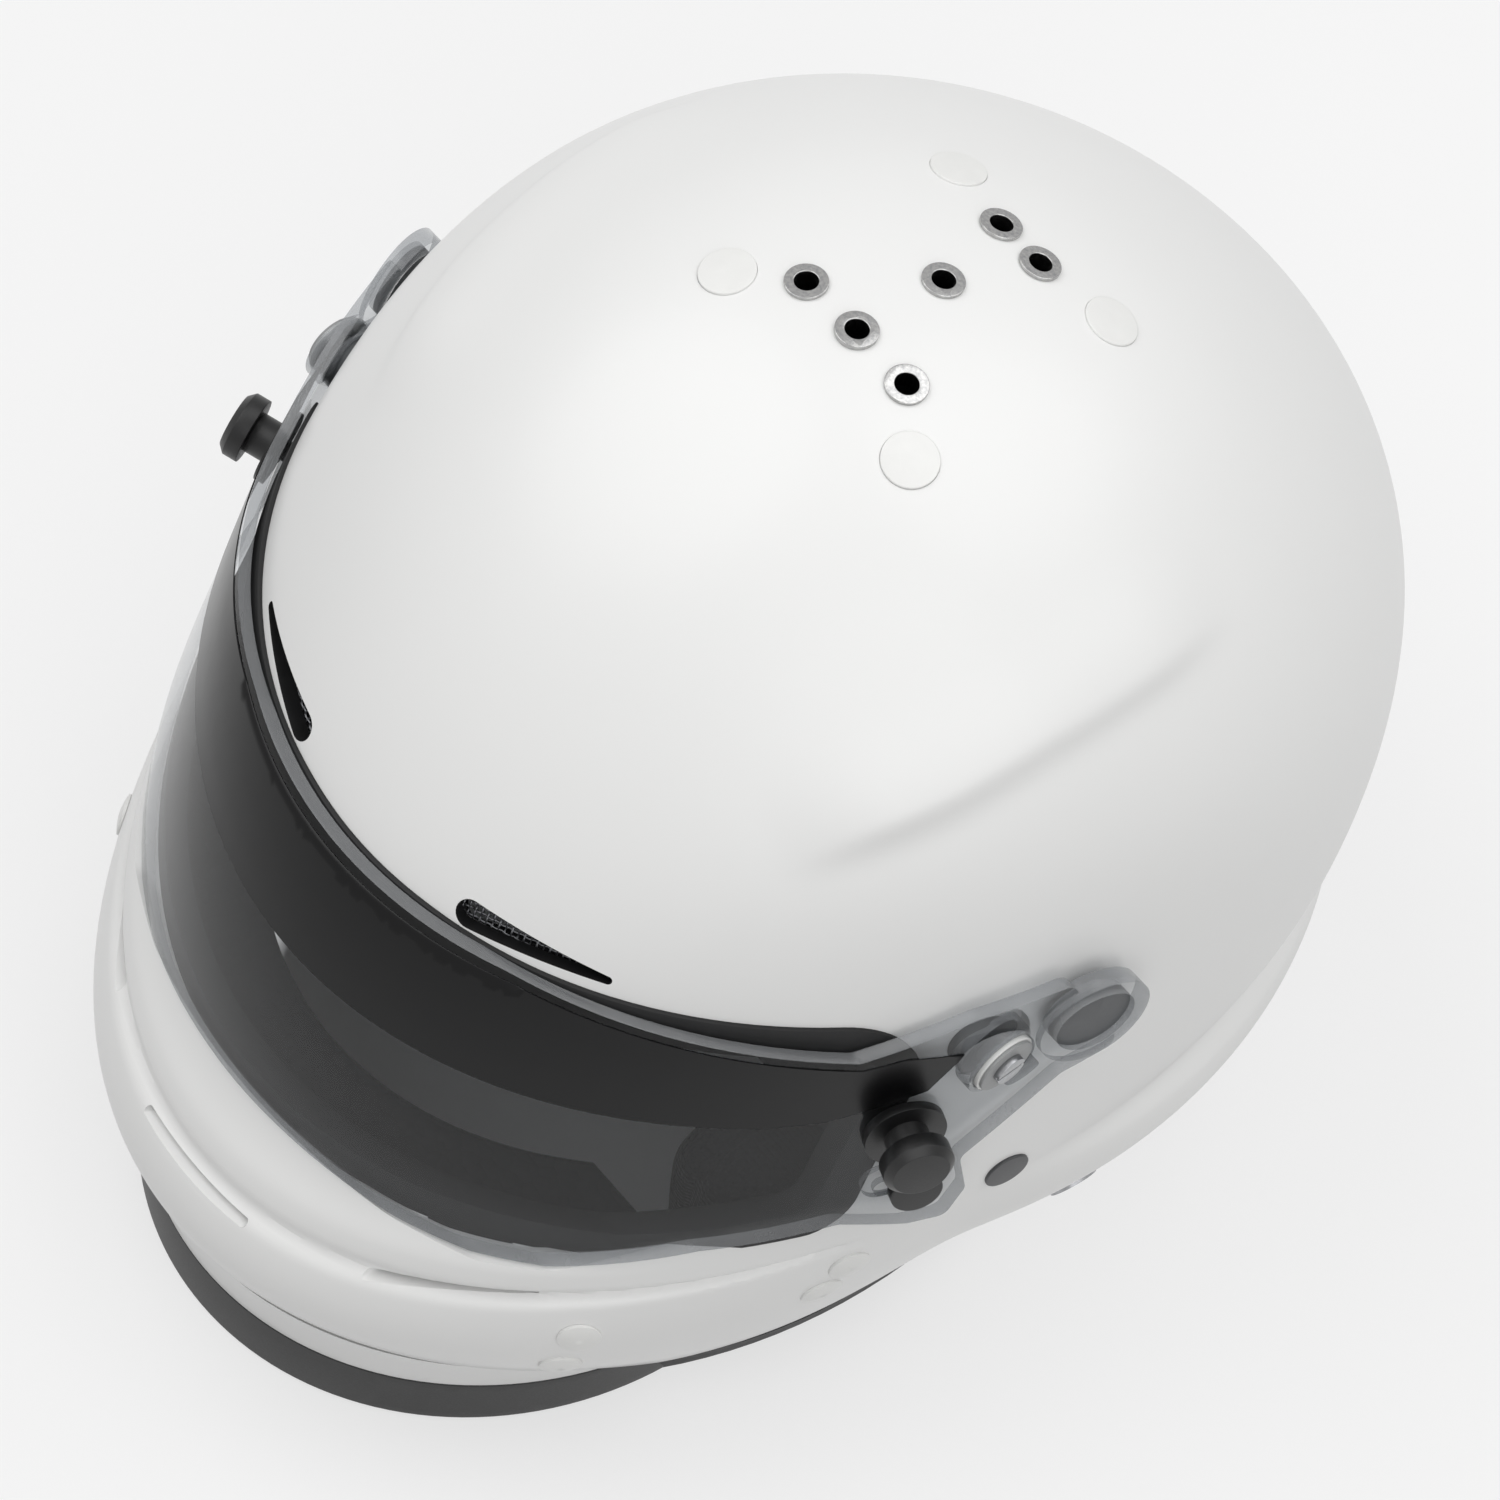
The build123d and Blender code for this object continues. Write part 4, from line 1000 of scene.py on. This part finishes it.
def swell(made, shrink, cap, frames=16, pressure=4.0):
    """Swells a pad with cloth under pressure; no point moves more than the cap, in millimetres."""
    points = coordinates(made.data) - directions(made.data) * shrink * MM
    set_coordinates(made.data, points)
    cloth = made.modifiers.new("cloth", "CLOTH")
    cloth.settings.quality = 5
    cloth.settings.use_pressure = True
    cloth.settings.uniform_pressure_force = pressure
    cloth.settings.effector_weights.gravity = 0
    cloth.point_cache.frame_start, cloth.point_cache.frame_end = 1, frames
    scene = bpy.context.scene
    for step in range(1, frames + 1):
        scene.frame_set(step)
    apply_modifiers(made)
    moved = coordinates(made.data) - points
    size = np.linalg.norm(moved, axis=1)
    moved *= np.minimum(1, cap * MM / np.maximum(size, 1e-9))[:, None]
    set_coordinates(made.data, points + moved)
    scene.frame_set(1)
    return made


def relax(made, rounds=2, share=0.5):
    """Evens out the surface."""
    bm = bmesh.new()
    bm.from_mesh(made.data)
    for _ in range(rounds):
        bmesh.ops.smooth_vert(bm, verts=bm.verts, factor=share,
                              use_axis_x=True, use_axis_y=True, use_axis_z=True)
    bm.to_mesh(made.data)
    bm.free()
    return made


def press(made, depth_at):
    """Moves points along their normals by a depth in millimetres worked out from their places."""
    points = coordinates(made.data)
    depth = depth_at(points / MM)
    set_coordinates(made.data, points + directions(made.data) * (depth * MM)[:, None])
    return made


def valley(distance, width):
    return np.exp(-(distance / width) ** 2)


def cheek_seams(points):
    """Seam round the inner face of a cheek pad, and a slot-wide channel across it."""
    x = np.abs(points[:, 0])
    rim = valley(x - 78.0, 1.4)
    channel = valley(points[:, 2] - 52 - 0.15 * points[:, 1], 1.6) * (x < 72)
    return -1.4 * rim - 1.2 * channel


def hold_in(made):
    """Draws what has swollen into the shell's wall back to its inner face."""
    points = coordinates(made.data) / MM
    share = np.maximum(ratio(inner_form, points) / 0.996, 1)
    middle = inner_form.at_height(points[:, 2])[3]
    points[:, 0] /= share
    points[:, 1] = middle + (points[:, 1] - middle) / share
    set_coordinates(made.data, points * MM)


def pad_from(name, new_name, material, voxel, shrink, cap, seams):
    made = copy_of(name, new_name)
    even_mesh(made, voxel)
    relax(made, 3)
    swell(made, shrink, cap)
    relax(made, 1)
    change = made.modifiers.new("fine", "SUBSURF")
    change.levels = change.render_levels = 1
    apply_modifiers(made)
    press(made, seams)
    hold_in(made)
    finish_mesh(made, material, 180)
    return made


for side in ("left", "right"):
    pad = pad_from(f"cheek_pad_{side}", f"cheek_cushion_{side}", KNIT, 3.5, 1.6, 2.2, cheek_seams)
    sign = LEFT if side == "left" else RIGHT
    slot_edge = [(-4.4, 68.6), (24.4, 68.6), (24.4, 73.4), (-4.4, 73.4)]
    slot_box = side_outline_prism("strap_slot", slot_edge, 112)
    cut_away(pad, [slot_box])
    finish_mesh(pad, KNIT, 60)
    placed(pad, "helmet", "comfort_fabric", f"cheek_pad_{side}")



def nape_seams(points):
    """One seam along the roll and one across it every 30 mm."""
    across = np.mod(points[:, 0] + 15, 30) - 15
    return -1.0 * valley(points[:, 2] - 35.5, 1.3) - 0.8 * valley(across, 1.3)


nape = pad_from("nape_pad", "nape_roll", KNIT, 2.6, 0.9, 1.2, nape_seams)
placed(nape, "helmet", "comfort_fabric", "nape_pad")


def crown_quilt(points):
    """Diamond channels seen from below."""
    one = np.mod(points[:, 0] + points[:, 1] * 0.6 + 14, 28) - 14
    two = np.mod(points[:, 0] - points[:, 1] * 0.6 + 14, 28) - 14
    return -1.1 * np.maximum(valley(one, 1.5), valley(two, 1.5))


crown = copy_of("crown_pad", "crown_quilt")
even_mesh(crown, 2.6)
relax(crown, 3)
change = crown.modifiers.new("fine", "SUBSURF")
change.levels = change.render_levels = 1
apply_modifiers(crown)
press(crown, lambda p: crown_quilt(p) - 0.2)
finish_mesh(crown, SOFT, 180)
placed(crown, "helmet", "comfort_fabric", "crown_pad")


# Chin straps: one woven band each, sewn back on itself under a box of stitches
def strap(name, side, end, ring, node_name):
    """Band from the rivet through the cheek pad and down; ring adds the loop of the D-rings."""
    line = [(101.8, 53.0), (101.8, 71.0), (58.0, 71.0), (58.0, end)]
    path = []
    for i, corner in enumerate(line):
        if i in (0, len(line) - 1):
            path.append(corner)
            continue
        c, before, after = Vector(corner), Vector(line[i - 1]), Vector(line[i + 1])
        a, b = c + (before - c).normalized() * 3.2, c + (after - c).normalized() * 3.2
        path += [tuple((1 - t) ** 2 * a + 2 * t * (1 - t) * c + t * t * b) for t in np.linspace(0, 1, 7)]
    fine = []
    for (x1, z1), (x2, z2) in zip(path, path[1:]):
        count = max(1, int(math.hypot(x2 - x1, z2 - z1) / 2))
        fine += [(x1 + (x2 - x1) * s / count, z1 + (z2 - z1) * s / count) for s in range(count)]
    fine.append(path[-1])
    section = [(-12.3, -0.9), (-12.5, 0), (-12.3, 0.9), (-11.5, 1.0), (-6, 0.94), (0, 1.0),
               (6, 0.94), (11.5, 1.0), (12.3, 0.9), (12.5, 0), (12.3, -0.9), (11.5, -1.0),
               (6, -0.94), (0, -1.0), (-6, -0.94), (-11.5, -1.0)]
    points, faces = [], []

    def sweep(route, closed):
        first, n, m = len(points), len(route), len(section)
        for i, (x, z) in enumerate(route):
            before = route[i - 1] if i or closed else route[0]
            after = route[(i + 1) % n] if i < n - 1 or closed else route[-1]
            way = (Vector(after) - Vector(before)).normalized()
            for across, thick in section:
                points.append((side * (x - way.y * thick), 10 + across, z + way.x * thick))
        for i in range(n if closed else n - 1):
            for j in range(m):
                a, b = first + i * m + j, first + i * m + (j + 1) % m
                k = (i + 1) % n
                faces.append([a, b, first + k * m + (j + 1) % m, first + k * m + j])
        if not closed:
            faces.append([first + j for j in range(m)][::-1])
            faces.append([first + (n - 1) * m + j for j in range(m)])

    sweep(fine, False)
    if ring:
        turn = np.linspace(0, 2 * math.pi, 49)[:-1]
        sweep([(58 + 6.1 * math.cos(a), 38 + 6.1 * math.sin(a)) for a in turn], True)
    made = new_object(name, points, faces, WEB, 50)
    bm = bmesh.new()
    bm.from_mesh(made.data)
    bmesh.ops.recalc_face_normals(bm, faces=bm.faces)
    bm.to_mesh(made.data)
    bm.free()
    return placed(made, "helmet", "webbing", node_name)


strap("strap_left", LEFT, 43.5, True, "chin_strap_left")
strap("strap_right", RIGHT, 14.0, False, "chin_strap_right")


def stitches(name, places, radius=0.28):
    """Short threads that lie on the strap, each given by its two ends in millimetres."""
    points, faces = [], []
    for one, two in places:
        a, b = np.array(one, float), np.array(two, float)
        run = [a + (b - a) * t for t in np.linspace(0, 1, 4)]
        p, f = wire(run, radius, 5)
        faces += [[i + len(points) for i in face] for face in f]
        points += p
    made = new_object(name, points, faces, THREAD, 60)
    return placed(made, "helmet", "webbing")


THREAD = nylon("thread", "2B2B2E", "3A3A3D", 0.6)


def box_rows(side, face_x, low, high):
    """Ends of the threads of a sewn box on the strap's hanging part."""
    ends = []
    for y in (0.5, 19.5):
        ends += [((side * face_x, y, z), (side * face_x, y, z + 1.9))
                 for z in np.arange(low, high - 1.5, 2.6)]
    for z in (low, high):
        ends += [((side * face_x, y, z), (side * face_x, y + 1.9, z)) for y in np.arange(0.7, 18.5, 2.6)]
    return ends


stitches("strap_stitches_left", box_rows(LEFT, 57.0, 46, 60) + box_rows(LEFT, 59.0, 46, 60))
stitches("strap_stitches_right", box_rows(RIGHT, 57.0, 28, 34) + box_rows(RIGHT, 59.0, 28, 34))


# Stage: pale floor, soft light from above, and the photograph's camera
def seen_rays(owner):
    """One for rays from the camera, off a mirror or through clear plastic, else zero."""
    path = node(owner, "LightPath")
    camera, mirror, clear = (path.outputs[f"Is {kind} Ray"] for kind in ("Camera", "Glossy", "Transmission"))
    first = node(owner, "Math", {0: camera, 1: mirror}, operation="MAXIMUM")
    return node(owner, "Math", {0: first.outputs[0], 1: clear}, operation="MAXIMUM").outputs[0]


def stage():
    floor_mesh = bpy.data.meshes.new("floor")
    floor_mesh.from_pydata([(-4, -4, 0), (4, -4, 0), (4, 4, 0), (-4, 4, 0)], [], [(0, 1, 2, 3)])
    floor = bpy.data.objects.new("floor", floor_mesh)
    bpy.context.scene.collection.objects.link(floor)
    m = bpy.data.materials.new("floor_paper")
    m.use_nodes = True
    m.node_tree.nodes.clear()
    seen = seen_rays(m)
    mix = node(m, "Mix", data_type="RGBA")
    m.node_tree.links.new(seen, mix.inputs["Factor"])
    mix.inputs[6].default_value = linear("A8A8A8")
    mix.inputs[7].default_value = linear("F6F6F6")
    matt = node(m, "BsdfDiffuse", {"Color": mix.outputs[2]})
    glow = node(m, "Emission", {"Color": linear("FFFFFF"), "Strength": 0.93})
    # The floor shut in under the helmet gets no glow, so the hollow of the helmet stays dark
    place = node(m, "TexCoord").outputs["Object"]
    inverse_reach = (1 / 0.088, 1 / 0.12, 0)
    spread = node(m, "VectorMath", {0: place, 1: inverse_reach}, operation="MULTIPLY").outputs["Vector"]
    away = node(m, "VectorMath", {0: spread}, operation="LENGTH").outputs["Value"]
    open_floor = node(m, "MapRange", {"Value": away, "From Min": 0.95, "From Max": 1.0, "To Max": 0.65})
    glow_share = node(m, "Math", {0: seen, 1: open_floor.outputs[0]}, operation="MULTIPLY")
    lift = node(m, "MixShader", {"Fac": glow_share.outputs[0]})
    m.node_tree.links.new(matt.outputs[0], lift.inputs[1])
    m.node_tree.links.new(glow.outputs[0], lift.inputs[2])
    # Seen from below the floor is clear, so that it doesn't hide the helmet
    whole = node(m, "MixShader", {"Fac": node(m, "NewGeometry").outputs["Backfacing"]})
    m.node_tree.links.new(lift.outputs[0], whole.inputs[1])
    m.node_tree.links.new(node(m, "BsdfTransparent").outputs[0], whole.inputs[2])
    node(m, "OutputMaterial", {"Surface": whole.outputs[0]})
    floor_mesh.materials.append(m)
    world = bpy.data.worlds.new("studio")
    world.use_nodes = True
    world.node_tree.nodes.clear()
    power = node(world, "MapRange", {"Value": seen_rays(world), "To Min": 0.46, "To Max": 0.7})
    sky = node(world, "Background", {"Color": linear("FFFFFF"), "Strength": power.outputs[0]})
    node(world, "OutputWorld", {"Surface": sky.outputs[0]})
    bpy.context.scene.world = world
    for name, place, aim, size, power in (
        ("key", (-0.9, -0.5, 1.7), (0, 0, 0.15), 1.7, 12),
        ("fill", (0.25, 0.9, 1.8), (0, 0, 0.15), 1.7, 10),
        ("side", (1.2, -0.5, 1.2), (0, 0, 0.15), 1.7, 8),
    ):
        lamp = bpy.data.lights.new(name, "AREA")
        lamp.shape, lamp.size, lamp.energy = "DISK", size, power
        light = bpy.data.objects.new(name, lamp)
        light.location = place
        light.rotation_euler = (Vector(aim) - Vector(place)).to_track_quat("-Z", "Y").to_euler()
        bpy.context.scene.collection.objects.link(light)
    camera = bpy.data.objects.new("camera", bpy.data.cameras.new("camera"))
    camera.data.lens, camera.data.sensor_width = 133.1, 36.0
    camera.location = (0.4445, -0.4938, 1.1892)
    ahead = (Vector((0.0098, -0.0025, 0.1202)) - camera.location).normalized()
    right = Vector((0.639, 0.764, 0.091))
    right = (right - ahead * right.dot(ahead)).normalized()
    camera.rotation_euler = Matrix((right, right.cross(ahead), -ahead)).transposed().to_euler()
    camera.data.clip_end = 20
    bpy.context.scene.collection.objects.link(camera)
    bpy.context.scene.camera = camera
    bpy.context.scene.view_settings.view_transform = "Standard"


stage()
